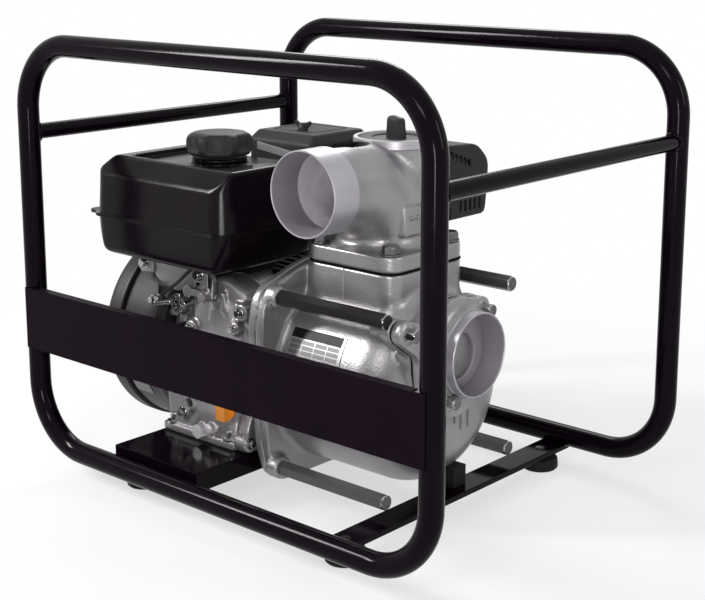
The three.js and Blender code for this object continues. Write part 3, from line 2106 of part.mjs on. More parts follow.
function mufflerGuard() {
  const shell = prism("x", guardOutline(0), mufflerLeftX, mufflerRightX);
  const room = prism(
    "x",
    guardOutline(guardThickness),
    mufflerLeftX + guardThickness,
    mufflerRightX - guardThickness,
  );
  const pitch = (mufflerBackY - mufflerFrontY) / (guardSlotCount + 2);
  const slots = [];
  for (let i = 0; i < guardSlotCount; i += 1) {
    const y = mufflerFrontY + (i + 1) * pitch;
    for (const z of [mufflerTop - guardChamferZ, mufflerBottom + guardChamferZ]) {
      slots.push(
        block(
          mufflerRightX - cutOverrun,
          mufflerRightX + cutOverrun,
          y,
          y + guardSlotLength,
          z - guardSlotHeight / 2,
          z + guardSlotHeight / 2,
        ),
      );
    }
  }
  const notch = block(
    mufflerLeftX - cutOverrun,
    mufflerLeftX + guardNotch,
    mufflerFrontY - cutOverrun,
    mufflerBackY + cutOverrun,
    mufflerBottom - cutOverrun,
    mufflerBottom + guardNotch / 2,
  );
  return cut(shell, room, notch, ...slots);
}

function muffler() {
  const lowX = mufflerLeftX + guardClearance;
  const highX = mufflerRightX - guardClearance;
  const box = (inset) => {
    const front = mufflerFrontY + guardClearance + inset;
    const back = mufflerBackY - guardClearance - inset;
    const bottom = mufflerBottom + guardClearance + inset;
    const top = mufflerTop - guardClearance - inset;
    const outline = roundedOutline([
      [front, bottom, mufflerRound],
      [back, bottom, mufflerRound],
      [back, top - guardChamferZ, mufflerRound / 2],
      [back - guardChamferY, top, mufflerRound / 2],
      [front, top, mufflerRound],
    ]);
    return prism("x", outline, lowX + inset, highX - inset);
  };
  const standoff = rod(
    "x",
    mufflerBossRadius,
    highX - cutOverrun,
    mufflerRightX - guardThickness - pieceGap,
    (mufflerFrontY + mufflerBackY) / 2,
    (mufflerBottom + mufflerTop) / 2,
    smallSides,
  );
  const portAlong = headStart + headLength / 2;
  const portY = portAlong * Math.cos(tilt);
  const portZ = shaftHeight + portAlong * Math.sin(tilt);
  const portX = cylinderCentreX + cylinderWidth / 2 + pieceGap;
  const pipe = (radius, open) =>
    join(
      rod("x", radius, portX - open, exhaustPipeX + radius, portY, portZ, smallSides),
      rod(
        "z",
        radius,
        portZ - radius,
        mufflerBottom + guardClearance + mufflerRound,
        exhaustPipeX,
        portY,
        smallSides,
      ),
    );
  const radius = exhaustPipeDiameter / 2;
  const outside = join(box(0), standoff, pipe(radius, 0));
  return cut(outside, box(mufflerWall), pipe(radius - mufflerWall, cutOverrun));
}

function engine() {
  add("crankcase", crankcase(), castAluminium);
  add("crankcase_cover", caseCover(), castAluminium);
  add("cylinder", cylinder(), darkCasting);
  add("cylinder_head", head(), darkCasting);
  add("rocker_cover", headCover(), blackSteel);
  add("spark_plug", sparkPlug(), ceramic);
  add("crankshaft", crankshaft(), brightSteel);
  add("camshaft", camshaft(), darkIron);
  add("connecting_rod", connectingRod(), castAluminium);
  add("piston", piston(), brightSteel);
  add("flywheel", flywheel(), darkIron);
  add("blower_housing", blowerHousing(), blackSteel);
  add("recoil_cover", recoilCover(), blackSteel);
  add("starter_reel", starterReel(), blackPlastic);
  add("oil_filler_plug", oilPlug(), orangePlastic);
  add("oil_drain_bolt", oilDrainBolt(), brightSteel);
  add("engine_switch", engineSwitch(), greyPlastic);
  add("throttle_lever", throttleLever(), blackSteel);
  add("carburettor", carburettor(), castAluminium);
  add("choke_lever", chokeLever(), greyPlastic);
  add("air_cleaner_base", airCleanerBase(), blackPlastic);
  add("air_filter_element", filterElement(), blackPlastic);
  add("air_cleaner_cover", airCleanerCover(), blackPlastic);
  add("wing_nut", wingNut(), brightSteel);
  add("muffler", muffler(), darkIron);
  add("muffler_guard", mufflerGuard(), blackSteel);
}

function tank() {
  add("tank_upper_half", tankUpper(), blackPaint);
  add("tank_lower_half", tankLower(), blackPaint);
  add("fuel_cap", fuelCap(), greyPlastic);
  add("tank_bracket", tankBracket(), brightSteel);
}

frame();
pump();
engine();
tank();

export default machine;
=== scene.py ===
import json
import math

import bmesh
import bpy
import numpy as np
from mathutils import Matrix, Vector


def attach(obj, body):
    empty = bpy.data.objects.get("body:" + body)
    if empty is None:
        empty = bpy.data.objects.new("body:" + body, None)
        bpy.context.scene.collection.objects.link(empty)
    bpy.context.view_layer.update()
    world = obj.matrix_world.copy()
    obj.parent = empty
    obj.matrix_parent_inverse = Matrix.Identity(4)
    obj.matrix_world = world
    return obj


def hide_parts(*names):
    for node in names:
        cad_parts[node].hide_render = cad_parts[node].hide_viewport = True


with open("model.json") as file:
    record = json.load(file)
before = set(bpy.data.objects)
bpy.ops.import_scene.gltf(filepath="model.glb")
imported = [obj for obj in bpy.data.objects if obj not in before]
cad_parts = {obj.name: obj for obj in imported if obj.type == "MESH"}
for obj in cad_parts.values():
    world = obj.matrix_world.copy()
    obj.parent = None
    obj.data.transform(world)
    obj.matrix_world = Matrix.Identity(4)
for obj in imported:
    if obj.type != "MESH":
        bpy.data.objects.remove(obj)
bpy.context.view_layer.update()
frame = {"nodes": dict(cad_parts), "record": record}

# Sizes are in millimetres, as in the part's source, whose origin lies this far in front.
MM = 0.001
CENTRE_Y = 1.15
SHIFT = Vector((0, CENTRE_Y, 0))
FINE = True
QUICK_STEP_SHARE = 1.5
SOFT_ANGLE = math.radians(32)
MERGE_DISTANCE = 0.00002
WHITE = (1, 1, 1, 1)

# Bolt heads: across the flats, height, washer and its thickness
HEADS = {
    "cover": (16, 12, 19, 2.5),
    "flange": (21, 10.5, 27, 2.5),
    "pad": (5, 2.4, 7, 0.6),
    "mount": (15, 12, 24, 3),
    "case_cover": (10, 6, 16, 1.5),
    "case_low": (10, 6, 15, 1.5),
    "case_front": (10, 6, 14, 1.5),
    "bracket": (11, 7, 17, 1.5),
    "control": (9, 6, 13, 1.5),
}

# Frame
TUBE = 14.77
LOOP_X = 353
LOOP_Y = 254
LOOP_LOW = 38.5
LOOP_HIGH = 600.5
CORNER = 90
HAND_BAR = 10.75
HAND_BAR_Z = 479
HAND_BAR_OVERLAP = 4
WELD = 2.3
WELD_GAP = 0.6
WELD_WAVE = 0.5
WELD_WAVES = 9
FOOT = 26
FEET = {
    "left_front": (-186, -207),
    "left_rear": (-186, 207),
    "right_front": (184, -207),
    "right_rear": (184, 207),
}
FOOT_SPACER = 12
CROSSBAR_TOP = 29

# Pump
SHAFT_Z = 168
CASING_Z = 165
CASING = 131
CASING_START = -21
CASING_END = 186
DRUM_START = -160
DRUM_ROUND = 60
FLANGE_END = -8
NECK_X = (-6.5, 146.5)
NECK_Y = (-76.5, 76.5)
NECK_TOP = 323
NECK_CORNER = 22
FLANGE = (325.4, 346.4)
FLANGE_BOLTS = [(x, y) for x in (10, 130) for y in (-60, 60)]
SEAM_X = (62.9, 64.7)
SEAM_Y = (-77.3, -75.5)
ELBOW_X = 64
DISCHARGE_Z = 429
DISCHARGE_MOUTH = -153
BEND = 80
PORT = 55.5
BORE = 49.5
SUCTION_Z = 221
SUCTION_MOUTH = 228
EYE_Z = SUCTION_Z - 7
EYE = 30
PRIMING_Y = 28
PRIMING_TOP = 484
TOWER = 52.5
COVER_Y = -10
COVER_Z = 215
COVER = 78
COVER_PLATE = (188.6, 202.6)
COVER_FACE = 204.5
COVER_BOLTS = [(-114, 268), (39, 270), (-33, 163), (-68, 180)]
BARS = {
    "front_low_bar": (-130, 50),
    "front_high_bar": (-130, 283),
    "rear_low_bar": (130, 50),
    "rear_high_bar": (130, 283),
}
BAR_ACROSS = 19
ADAPTER = [(126, 26), (144, 62), (157, 252), (144, 290), (54.5, 321.2)]
ADAPTER_X = (-35, -22.5)
HUB = 81
HUB_START = -49.3

# Engine
CASE_X = (-226, -70)
CASE_COVER_X = (-69.7, -49.7)
CASE_COVER_FACE = -48
CASE_BASE = 60.3
CASE_FOOT_TOP = 71
CASE_PLAN = [(-112, 56), (112, 56), (112, 194), (84, 250), (-84, 250), (-112, 222)]
CYLINDER_TILT = math.radians(28)
CYLINDER_X = -150
CYLINDER_HALF = 52.3
CYLINDER_START = 91.7
HOUSING_X = (-314.3, -226.3)
RECOIL_X = (-350.6, -314.6)
HOUSING = 140
RECOIL = 144
HOUSING_TOP = 300
TANK = (-335, -66, -168, 28)
TANK_BOTTOM = 302
TANK_SEAM = 357
TANK_TOP = 440
CAP_X = -178
CAP_Y = -64
CAP = 46
AIR = (-227, -93, 36, 164)
AIR_SEAM = 398
AIR_TOP = 466
WING_NUT = (-155, 80)
OIL_PLUG = (-86, 116)
CASE_FRONT = -117.4
CONTROL_FACE = -124


def link(obj):
    bpy.context.scene.collection.objects.link(obj)
    return obj


# Finishes: slot, colour, roughness and its spread, metallic, specular, the grain's scale,
# its depth in millimetres, and the share by which the tone wanders.
# A slot's name is also the name of its usual finish.
FINISHES = {
    "frame_paint": ("frame_paint", (0.003, 0.001, 0.0032), 0.11, 0.04, 0, 0.06, 900, 0.03, 0.2),
    "panel_paint": (None, (0.0055, 0.0022, 0.005), 0.4, 0.08, 0, 0.022, 1500, 0.05, 0.12),
    "tank_paint": ("frame_paint", (0.0038, 0.002, 0.0038), 0.18, 0.05, 0, 0.11, 500, 0.04, 0.12),
    "black_steel": ("black_steel", (0.02, 0.0165, 0.02), 0.42, 0.08, 0, 0.16, 700, 0.08, 0.12),
    "guard_paint": ("black_steel", (0.022, 0.018, 0.022), 0.5, 0.08, 0, 0.12, 800, 0.1, 0.12),
    "black_plastic": ("black_plastic", (0.026, 0.024, 0.026), 0.5, 0.08, 0, 0.12, 1400, 0.1, 0.12),
    "cap_plastic": ("grey_plastic", (0.024, 0.022, 0.024), 0.45, 0.08, 0, 0.14, 1600, 0.12, 0.12),
    "grey_plastic": ("grey_plastic", (0.018, 0.016, 0.018), 0.42, 0.08, 0, 0.15, 1400, 0.1, 0.12),
    "rubber": ("rubber", (0.008, 0.006, 0.008), 0.6, 0.08, 0, 0.12, 900, 0.2, 0.12),
    "gasket": (None, (0.006, 0.004, 0.006), 0.8, 0.08, 0, 0.05, 900, 0.2, 0.12),
    "flap_rubber": (None, (0.14, 0.128, 0.142), 0.6, 0.08, 0, 0.3, 900, 0.2, 0.08),
    "cast_aluminium": ("cast_aluminium", (0.275, 0.265, 0.275), 0.33, 0.08, 0.62, 0.4, 330, 0.34, 0.08),
    "engine_casting": ("engine_casting", (0.25, 0.238, 0.25), 0.34, 0.08, 0.6, 0.4, 330, 0.4, 0.12),
    "machined_aluminium": ("cast_aluminium", (0.38, 0.365, 0.385), 0.38, 0.08, 0.62, 0.4, 380, 0.08, 0.05),
    "lit_bore_casting": ("cast_aluminium", (0.6, 0.565, 0.6), 0.5, 0.08, 0.3, 0.5, 260, 0.3, 0.2),
    "shaded_bore_casting": (None, (0.215, 0.2, 0.218), 0.55, 0.08, 0.3, 0.5, 260, 0.3, 0.1),
    "bright_steel": ("bright_steel", (0.34, 0.33, 0.34), 0.14, 0.05, 0.95, 0.5, 900, 0.05, 0.12),
    "zinc": (None, (0.36, 0.34, 0.35), 0.3, 0.08, 0.8, 0.5, 700, 0.08, 0.25),
    "white_zinc": ("bright_steel", (0.72, 0.7, 0.72), 0.25, 0.08, 0.55, 0.5, 700, 0.08, 0.15),
    "pale_strip": ("bright_steel", (0.2, 0.195, 0.2), 0.45, 0.08, 0.4, 0.5, 700, 0.08, 0.2),
    "dull_and_shaded_steel": ("bright_steel", (0.13, 0.122, 0.13), 0.22, 0.08, 0.85, 0.5, 700, 0.1, 0.25),
    "shaded_bar_finish": ("bright_steel", (0.03, 0.026, 0.03), 0.34, 0.08, 0.35, 0.3, 260, 0.12, 0.25),
    "usual_bar_finish": ("bright_steel", (0.085, 0.081, 0.084), 0.36, 0.08, 0.6, 0.5, 260, 0.12, 0.2),
    "cast_iron": ("cast_iron", (0.06, 0.058, 0.06), 0.55, 0.08, 0.4, 0.5, 350, 0.3, 0.12),
    "orange_plastic": ("orange_plastic", (0.8, 0.27, 0.02), 0.42, 0.08, 0, 0.5, 1200, 0.08, 0.12),
    "filter_foam": ("filter_foam", (0.05, 0.05, 0.05), 0.9, 0.08, 0, 0.5, 260, 1.2, 0.12),
    "blank_plate": (None, (0.3, 0.29, 0.3), 0.4, 0.08, 0.4, 0.5, 900, 0.08, 0.08),
    "plate_header": (None, (0.008, 0.006, 0.008), 0.4, 0.08, 0, 0.1, 900, 0.08, 0.12),
    "plate_field": (None, (0.14, 0.135, 0.14), 0.5, 0.08, 0.3, 0.5, 900, 0.08, 0.12),
    "seal": (None, (0.5, 0.48, 0.44), 0.4, 0.08, 0, 0.5, 500, 0.08, 0.12),
}
# The castings also get painted shade in their hollows.
FINISH_EXTRAS = {
    "cast_aluminium": dict(broad=26, hollow_shade=0.5),
    "engine_casting": dict(broad=26, hollow_shade=0.6),
    "lit_bore_casting": dict(broad=30),
    "shaded_bar_finish": dict(stretch=(0.12, 1, 1)),
    "usual_bar_finish": dict(stretch=(0.12, 1, 1)),
}


def tone(colour, factor):
    return tuple(min(1.0, c * factor) for c in colour) + (1.0,)


def feed(tree, node, inputs):
    """Gives each input of a node a value or the output of another node."""
    for name, value in inputs.items():
        if isinstance(value, bpy.types.NodeSocket):
            tree.links.new(value, node.inputs[name])
        else:
            node.inputs[name].default_value = value


def add(tree, kind, inputs={}):
    """A new node, fed with its inputs."""
    node = tree.nodes.new(kind)
    feed(tree, node, inputs)
    return node


def ramp_of(tree, source, low, low_colour, high, high_colour):
    ramp = add(tree, "ShaderNodeValToRGB", {"Fac": source})
    ends = ramp.color_ramp.elements
    for end, place, colour in ((ends[0], low, low_colour), (ends[1], high, high_colour)):
        end.position = place
        end.color = colour
    return ramp.outputs["Color"]


def finish_of(
    name,
    colour,
    roughness,
    spread,
    metallic,
    specular,
    grain,
    bump,
    mottle,
    broad=18,
    stretch=(1, 1, 1),
    hollow_shade=0,
):
    """A painted, cast or turned surface: a grain, a slow change of tone, and painted shade that darkens its
    hollows.
    """
    made = bpy.data.materials.new(name)
    made.use_nodes = True
    tree = made.node_tree
    place = add(tree, "ShaderNodeTexCoord").outputs["Object"]
    scaled = add(tree, "ShaderNodeMapping", {"Vector": place, "Scale": stretch})

    def noise(scale, detail):
        inputs = {"Vector": scaled.outputs["Vector"], "Scale": scale, "Detail": detail}
        return add(tree, "ShaderNodeTexNoise", inputs).outputs["Fac"]

    slow = noise(broad, 4)
    shown = ramp_of(tree, slow, 0.3, tone(colour, 1 - mottle), 0.7, tone(colour, 1 + mottle))
    # Painted shade: where pointiness is low, in hollows and creases, the colour is darkened.
    if hollow_shade:
        edge = add(tree, "ShaderNodeNewGeometry").outputs["Pointiness"]
        mix = add(tree, "ShaderNodeMix")
        mix.data_type = "RGBA"
        mix.blend_type = "MULTIPLY"
        shade = ramp_of(tree, edge, 0.42, tone(WHITE[:3], 1 - hollow_shade), 0.5, WHITE)
        feed(tree, mix, {"Factor": 1.0, "A": shown, "B": shade})
        shown = mix.outputs["Result"]
    least, most = max(0.02, roughness - spread), min(1.0, roughness + spread)
    rough = add(tree, "ShaderNodeMapRange", {"Value": slow, "To Min": least, "To Max": most})
    relief = {"Strength": 1.0, "Distance": bump * MM, "Height": noise(grain, 3)}
    surface = {
        "Base Color": shown,
        "Metallic": metallic,
        "Specular IOR Level": specular,
        "Roughness": rough.outputs["Result"],
        "Normal": add(tree, "ShaderNodeBump", relief).outputs["Normal"],
    }
    feed(tree, tree.nodes["Principled BSDF"], surface)
    return made


LOOK = {
    name: finish_of(name, *row[1:], **FINISH_EXTRAS.get(name, {}))
    for name, row in FINISHES.items()
}


# Meshes


def piece(name, shape, finish, nodes=(), body="machine", slot="usual", sharp=38, bevel=0):
    """Makes one piece from (corners in mm, faces) and sets it on its body."""
    corners, faces = shape
    placed = (np.asarray(corners, float) + (0, CENTRE_Y, 0)) * MM
    mesh = bpy.data.meshes.new(name)
    mesh.from_pydata(placed.tolist(), [], faces)
    mesh.validate()
    work = bmesh.new()
    work.from_mesh(mesh)
    bmesh.ops.recalc_face_normals(work, faces=work.faces)
    work.to_mesh(mesh)
    work.free()
    mesh.shade_smooth()
    mesh.set_sharp_from_angle(angle=math.radians(sharp))
    mesh.materials.append(LOOK[finish])
    obj = link(bpy.data.objects.new(name, mesh))
    if bevel:
        soften(obj, bevel)
    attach(obj, body)
    if nodes:
        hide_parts(*nodes)
    slot = FINISHES[finish][0] if slot == "usual" else slot
    return obj


def soften(obj, width, segments=3):
    edge = obj.modifiers.new("edge", "BEVEL")
    edge.width = width * MM
    edge.segments = segments
    edge.limit_method = "ANGLE"
    edge.angle_limit = SOFT_ANGLE
    edge.harden_normals = False
    even = obj.modifiers.new("even", "WEIGHTED_NORMAL")
    even.keep_sharp = False


def second_look(obj, finish, chosen):
    """Gives the chosen faces another finish."""
    obj.data.materials.append(LOOK[finish])
    for polygon in obj.data.polygons:
        if chosen(polygon):
            polygon.material_index = 1


def near_axis(axis, a, b, limit):
    """Tells of a face whether it lies within a distance of an axis."""
    middle = Vector(on_axis(axis, a, b, 0)) + SHIFT
    along = Vector(on_axis(axis, 0, 0, 1))

    def chosen(polygon):
        out = polygon.center / MM - middle
        return (out - along * out.dot(along)).length < limit

    return chosen


def merged(*shapes):
    corners = []
    faces = []
    for some_corners, some_faces in shapes:
        start = len(corners)
        corners.extend([tuple(c) for c in some_corners])
        faces.extend([tuple(start + i for i in face) for face in some_faces])
    return corners, faces


def on_axis(axis, a, b, along):
    """A point from its place along an axis and its two other coordinates."""
    if axis == "x":
        return (along, a, b)
    if axis == "y":
        return (a, along, b)
    return (a, b, along)


def rounded(corners, steps=6):
    """A closed outline whose corners (a, b, radius) are filleted."""
    made = []
    count = len(corners)
    for i in range(count):
        before = Vector(corners[i - 1][:2])
        here = Vector(corners[i][:2])
        after = Vector(corners[(i + 1) % count][:2])
        radius = corners[i][2] if len(corners[i]) > 2 else 0
        if radius <= 0:
            made.append(tuple(here))
            continue
        back = (before - here).normalized()
        ahead = (after - here).normalized()
        half = back.angle(ahead) / 2
        reach = radius / math.tan(half)
        centre = here + (back + ahead).normalized() * radius / math.sin(half)
        start = here + back * reach - centre
        end = here + ahead * reach - centre
        swing = math.atan2(start.x * end.y - start.y * end.x, start.dot(end))
        for k in range(steps + 1):
            cos, sin = math.cos(swing * k / steps), math.sin(swing * k / steps)
            across = centre.x + start.x * cos - start.y * sin
            made.append((across, centre.y + start.x * sin + start.y * cos))
    return made


def box_outline(low_a, high_a, low_b, high_b, radius, steps=6):
    corners = ((low_a, low_b), (high_a, low_b), (high_a, high_b), (low_a, high_b))
    return rounded([(a, b, radius) for a, b in corners], steps)


def lofted(rings, closed=False):
    """Joins rings of equal count, one after another, and caps the two ends if it isn't closed."""
    count = len(rings[0])
    corners = [corner for ring in rings for corner in ring]
    faces = []
    last = len(rings) if closed else len(rings) - 1
    for i in range(last):
        here = i * count
        there = ((i + 1) % len(rings)) * count
        for j in range(count):
            k = (j + 1) % count
            faces.append((here + j, here + k, there + k, there + j))
    if not closed:
        faces.append(tuple(range(count)))
        faces.append(tuple((len(rings) - 1) * count + j for j in range(count)))
    return corners, faces


def prism(outline, axis, *places):
    return lofted([[on_axis(axis, a, b, w) for a, b in outline] for w in places])


def stacked(levels, axis, a, b, sides=48):
    """Rings round an axis: each level is (place, radius or a function of the angle)."""
    rings = []
    for along, radius in levels:
        ring = []
        for i in range(sides):
            t = 2 * math.pi * i / sides
            r = radius(t) if callable(radius) else radius
            ring.append(on_axis(axis, a + r * math.cos(t), b + r * math.sin(t), along))
        rings.append(ring)
    return lofted(rings)


def turned(profile, axis, a, b, sides=96):
    """A closed profile of (radius, place) turned round an axis."""
    rings = []
    for i in range(sides):
        cos, sin = math.cos(2 * math.pi * i / sides), math.sin(2 * math.pi * i / sides)
        rings.append([on_axis(axis, a + r * cos, b + r * sin, w) for r, w in profile])
    return lofted(rings, closed=True)


def tube(points, radius, sides=32, closed=False):
    """A round section swept along points, turned as little as possible."""
    path = [Vector(p) for p in points]
    count = len(path)
    heading = []
    for i in range(count):
        before = path[i - 1] if closed or i else path[0]
        after = path[(i + 1) % count] if closed or i < count - 1 else path[-1]
        heading.append((after - before).normalized())
    side = heading[0].orthogonal().normalized()
    rings = []
    for i in range(count):
        side = (side - heading[i] * side.dot(heading[i])).normalized()
        up = heading[i].cross(side)
        ring = []
        for j in range(sides):
            t = 2 * math.pi * j / sides
            ring.append(tuple(path[i] + (side * math.cos(t) + up * math.sin(t)) * radius))
        rings.append(ring)
    return lofted(rings, closed=closed)


def folded(turn, pitch=math.pi / 3):
    """An angle brought within half a pitch of zero."""
    return (turn + pitch / 2) % pitch - pitch / 2


def hexagon(across, limit=math.inf):
    """The radius of a hexagon at an angle, whose corners are cut at a limit."""
    return lambda t: min(across / 2 / math.cos(folded(t)), limit)


def bolt_head(kind, axis, a, b, face, way=1):
    """A washer and a chamfered hexagon head standing on a face, towards +way."""
    across, height, washer, thick = HEADS[kind]
    half = washer / 2
    rims = [(0, half - 0.3), (0.4, half), (thick - 0.4, half), (thick, half - 0.4)]
    plate = stacked([(face + way * rise, radius) for rise, radius in rims], axis, a, b, 36)
    base = face + way * thick
    crown = across / 2
    levels = [(0, hexagon(across)), (0.78, hexagon(across))]
    levels += [(0.92, hexagon(across, crown * 1.06)), (1, hexagon(across, crown * 0.93))]
    head = stacked([(base + way * height * share, r) for share, r in levels], axis, a, b)
    return merged(plate, head)


def box_shape(low, high, cut=0.5):
    """A plain block with a cut along each edge."""
    (x0, y0, z0), (x1, y1, z1) = low, high
    outer = box_outline(x0, x1, y0, y1, cut, 2)
    inner = box_outline(x0 + cut, x1 - cut, y0 + cut, y1 - cut, 0.1, 2)
    rings = ((inner, z0), (outer, z0 + cut), (outer, z1 - cut), (inner, z1))
    return lofted([[(a, b, place) for a, b in ring] for ring, place in rings])


# Cast forms: a field that is negative inside is turned into a mesh.


def length(a, b):
    return np.sqrt(a * a + b * b)


def soft_min(a, b, k):
    h = np.maximum(k - np.abs(a - b), 0) / k
    return np.minimum(a, b) - h * h * k / 4


def soft_max(a, b, k):
    return -soft_min(-a, -b, k)


def disc(u, v, a, b, radius):
    return length(u - a, v - b) - radius


def rectangle(u, v, low_u, high_u, low_v, high_v, r):
    a = np.abs(u - (low_u + high_u) / 2) - (high_u - low_u) / 2 + r
    b = np.abs(v - (low_v + high_v) / 2) - (high_v - low_v) / 2 + r
    return np.minimum(np.maximum(a, b), 0) + length(np.maximum(a, 0), np.maximum(b, 0)) - r


def extent(flat, w, low, high, r):
    """A flat shape run from low to high along w, its two rims rounded by r."""
    a = flat + r
    b = np.maximum(low - w, w - high) + r
    return np.minimum(np.maximum(a, b), 0) + length(np.maximum(a, 0), np.maximum(b, 0)) - r


def convex(u, v, corners, k):
    """A convex outline, given anticlockwise, with soft corners."""
    field = None
    for i, (a, b) in enumerate(corners):
        c, d = corners[(i + 1) % len(corners)]
        run = math.hypot(c - a, d - b)
        plane = (u - a) * ((d - b) / run) - (v - b) * ((c - a) / run)
        field = plane if field is None else soft_max(field, plane, k)
    return field


def spoke(u, v, a, b, c, d, start, end):
    """A bar in a flat plane from (a, b) to (c, d) whose half width goes from start to end."""
    run = (c - a) ** 2 + (d - b) ** 2
    share = np.clip(((u - a) * (c - a) + (v - b) * (d - b)) / run, 0, 1)
    wide = start + (end - start) * share
    return length(u - a - share * (c - a), v - b - share * (d - b)) - wide


def crossings(values, cells):
    """The mean of the points where the field changes sign on the edges of each cell."""
    total = np.zeros((len(cells), 3))
    hits = np.zeros(len(cells))
    for axis in range(3):
        u, v = [n for n in range(3) if n != axis]
        for du, dv in np.ndindex(2, 2):
            start = cells.copy()
            start[:, u] += du
            start[:, v] += dv
            end = start.copy()
            end[:, axis] += 1
            a = values[tuple(start.T)]
            b = values[tuple(end.T)]
            cross = (a < 0) != (b < 0)
            at = start[cross].astype(float)
            at[:, axis] += a[cross] / (a[cross] - b[cross])
            total[cross] += at
            hits[cross] += 1
    return total / hits[:, None]


def quads(inside, index):
    """One face for each edge of the grid that crosses the surface."""
    faces = []
    for axis in range(3):
        u, v = (axis + 1) % 3, (axis + 2) % 3
        near = [slice(None)] * 3
        far = [slice(None)] * 3
        near[axis] = slice(0, -1)
        far[axis] = slice(1, None)
        at = np.argwhere(inside[tuple(near)] != inside[tuple(far)])
        within = (at[:, u] > 0) & (at[:, u] < inside.shape[u] - 1)
        at = at[within & (at[:, v] > 0) & (at[:, v] < inside.shape[v] - 1)]
        outward = inside[tuple(near)][tuple(at.T)]
        quad = []
        for du, dv in ((1, 1), (0, 1), (0, 0), (1, 0)):
            cell = at.copy()
            cell[:, u] -= du
            cell[:, v] -= dv
            quad.append(index[tuple(cell.T)])
        quad = np.array(quad).T
        quad[~outward] = quad[~outward][:, ::-1]
        faces.extend(quad.tolist())
    return faces


def drawn(field, places, reach, small=0.2, rounds=3):
    """Moves each point onto the surface along the field's slope, by no more than a reach."""
    for _ in range(rounds):
        x, y, z = places.T
        here = field(x, y, z)
        ahead = [field(x + small, y, z), field(x, y + small, z), field(x, y, z + small)]
        slope = np.array([value - here for value in ahead]).T / small
        square = np.maximum((slope**2).sum(axis=1), 0.05)
        move = -slope * (here / square)[:, None]
        far = np.linalg.norm(move, axis=1)
        places = places + move * np.minimum(1, reach / np.maximum(far, 1e-9))[:, None]
    return places


def net(field, low, high, step):
    """The surface where the field is zero, as quads whose corners are drawn onto it."""
    step = step if FINE else step * QUICK_STEP_SHARE
    axes = [np.arange(a, b + step, step) for a, b in zip(low, high)]
    x, y, z = np.meshgrid(*axes, indexing="ij", sparse=True)
    values = np.array(np.broadcast_to(field(x, y, z), [len(a) for a in axes]))
    inside = values < 0
    count = np.zeros([len(a) - 1 for a in axes], np.int8)
    for corner in np.ndindex(2, 2, 2):
        count += inside[tuple(slice(c, n - 1 + c) for c, n in zip(corner, inside.shape))]
    active = (count > 0) & (count < 8)
    index = np.full(active.shape, -1, np.int64)
    cells = np.argwhere(active)
    index[active] = np.arange(len(cells))
    places = np.array(low) + crossings(values, cells) * step
    return drawn(field, places, 0.6 * step), quads(inside, index)


def cast(name, field, finish, nodes, low, high, step=2.5):
    """A cast piece, whose field is looked up between two corners of a grid."""
    return piece(name, net(field, low, high, step), finish, nodes, sharp=60)


# Frame


def loop_path(y):
    """A rounded rectangle in an upright plane."""
    outline = box_outline(-LOOP_X, LOOP_X, LOOP_LOW, LOOP_HIGH, CORNER, 24)
    return [(x, y, z) for x, z in outline]


def weld_bead(x, y, side):
    """A bead where a hand bar meets an upright tube."""
    points = []
    ring = HAND_BAR + WELD_GAP
    for i in range(40):
        t = 2 * math.pi * i / 40
        across = ring * math.cos(t)
        deep = math.sqrt(TUBE * TUBE - min(across * across, TUBE * TUBE - 4))
        up = (ring + WELD_WAVE * math.sin(WELD_WAVES * t)) * math.sin(t)
        points.append((x + across, y + side * (deep + WELD_GAP), HAND_BAR_Z + up))
    return tube(points, WELD, 10, closed=True)


def build_frame():
    for name, y in (("front_loop", -LOOP_Y), ("rear_loop", LOOP_Y)):
        loop = tube(loop_path(y), TUBE, 40, closed=True)
        piece(name + "_tube", loop, "frame_paint", [name])
    beads = []
    reach = LOOP_Y - TUBE + HAND_BAR_OVERLAP
    for name, x in (("left_hand_bar", -LOOP_X), ("right_hand_bar", LOOP_X)):
        path = [(x, y, HAND_BAR_Z) for y in (-reach, -reach / 3, reach / 3, reach)]
        piece(name + "_tube", tube(path, HAND_BAR), "frame_paint", [name])
        beads += [weld_bead(x, side * LOOP_Y, -side) for side in (-1, 1)]
    piece("hand_bar_welds", merged(*beads), "frame_paint")
    for name, (x, y) in FEET.items():
        build_foot(name, x, y)
    rise = [(CROSSBAR_TOP, 7), (CROSSBAR_TOP + 1.2, 6.4), (CROSSBAR_TOP + 2.2, 4)]
    screws = [stacked(rise, "z", x, y, 32) for x, y in FEET.values() if x > 0]
    piece("foot_bolts", merged(*screws), "black_steel")


def build_foot(name, x, y):
    lower = [(0, FOOT - 5), (0.8, FOOT - 2.5), (2.6, FOOT - 0.6), (5, FOOT)]
    upper = [(14.5, FOOT - 0.5), (17, FOOT - 1.6), (18, FOOT - 4)]
    shapes = [stacked(lower + upper, "z", x, y)]
    if x > 0:
        shapes.append(stacked([(14, FOOT_SPACER), (25.6, FOOT_SPACER)], "z", x, y, 36))
    piece(name + "_foot_pad", merged(*shapes), "rubber", [name + "_foot"])


# Pump


def adapter_corners(inset):
    right = [(y - inset, z) for y, z in ADAPTER]
    left = [(-y, z) for y, z in reversed(right)]
    return right + left


def cover_flat(y, z):
    """The suction cover's plan: a disc with an ear for each bolt."""
    field = disc(y, z, COVER_Y, COVER_Z, COVER)
    for a, b in COVER_BOLTS:
        field = soft_min(field, spoke(y, z, COVER_Y, COVER_Z, a, b, 34, 16), 12)
    return field


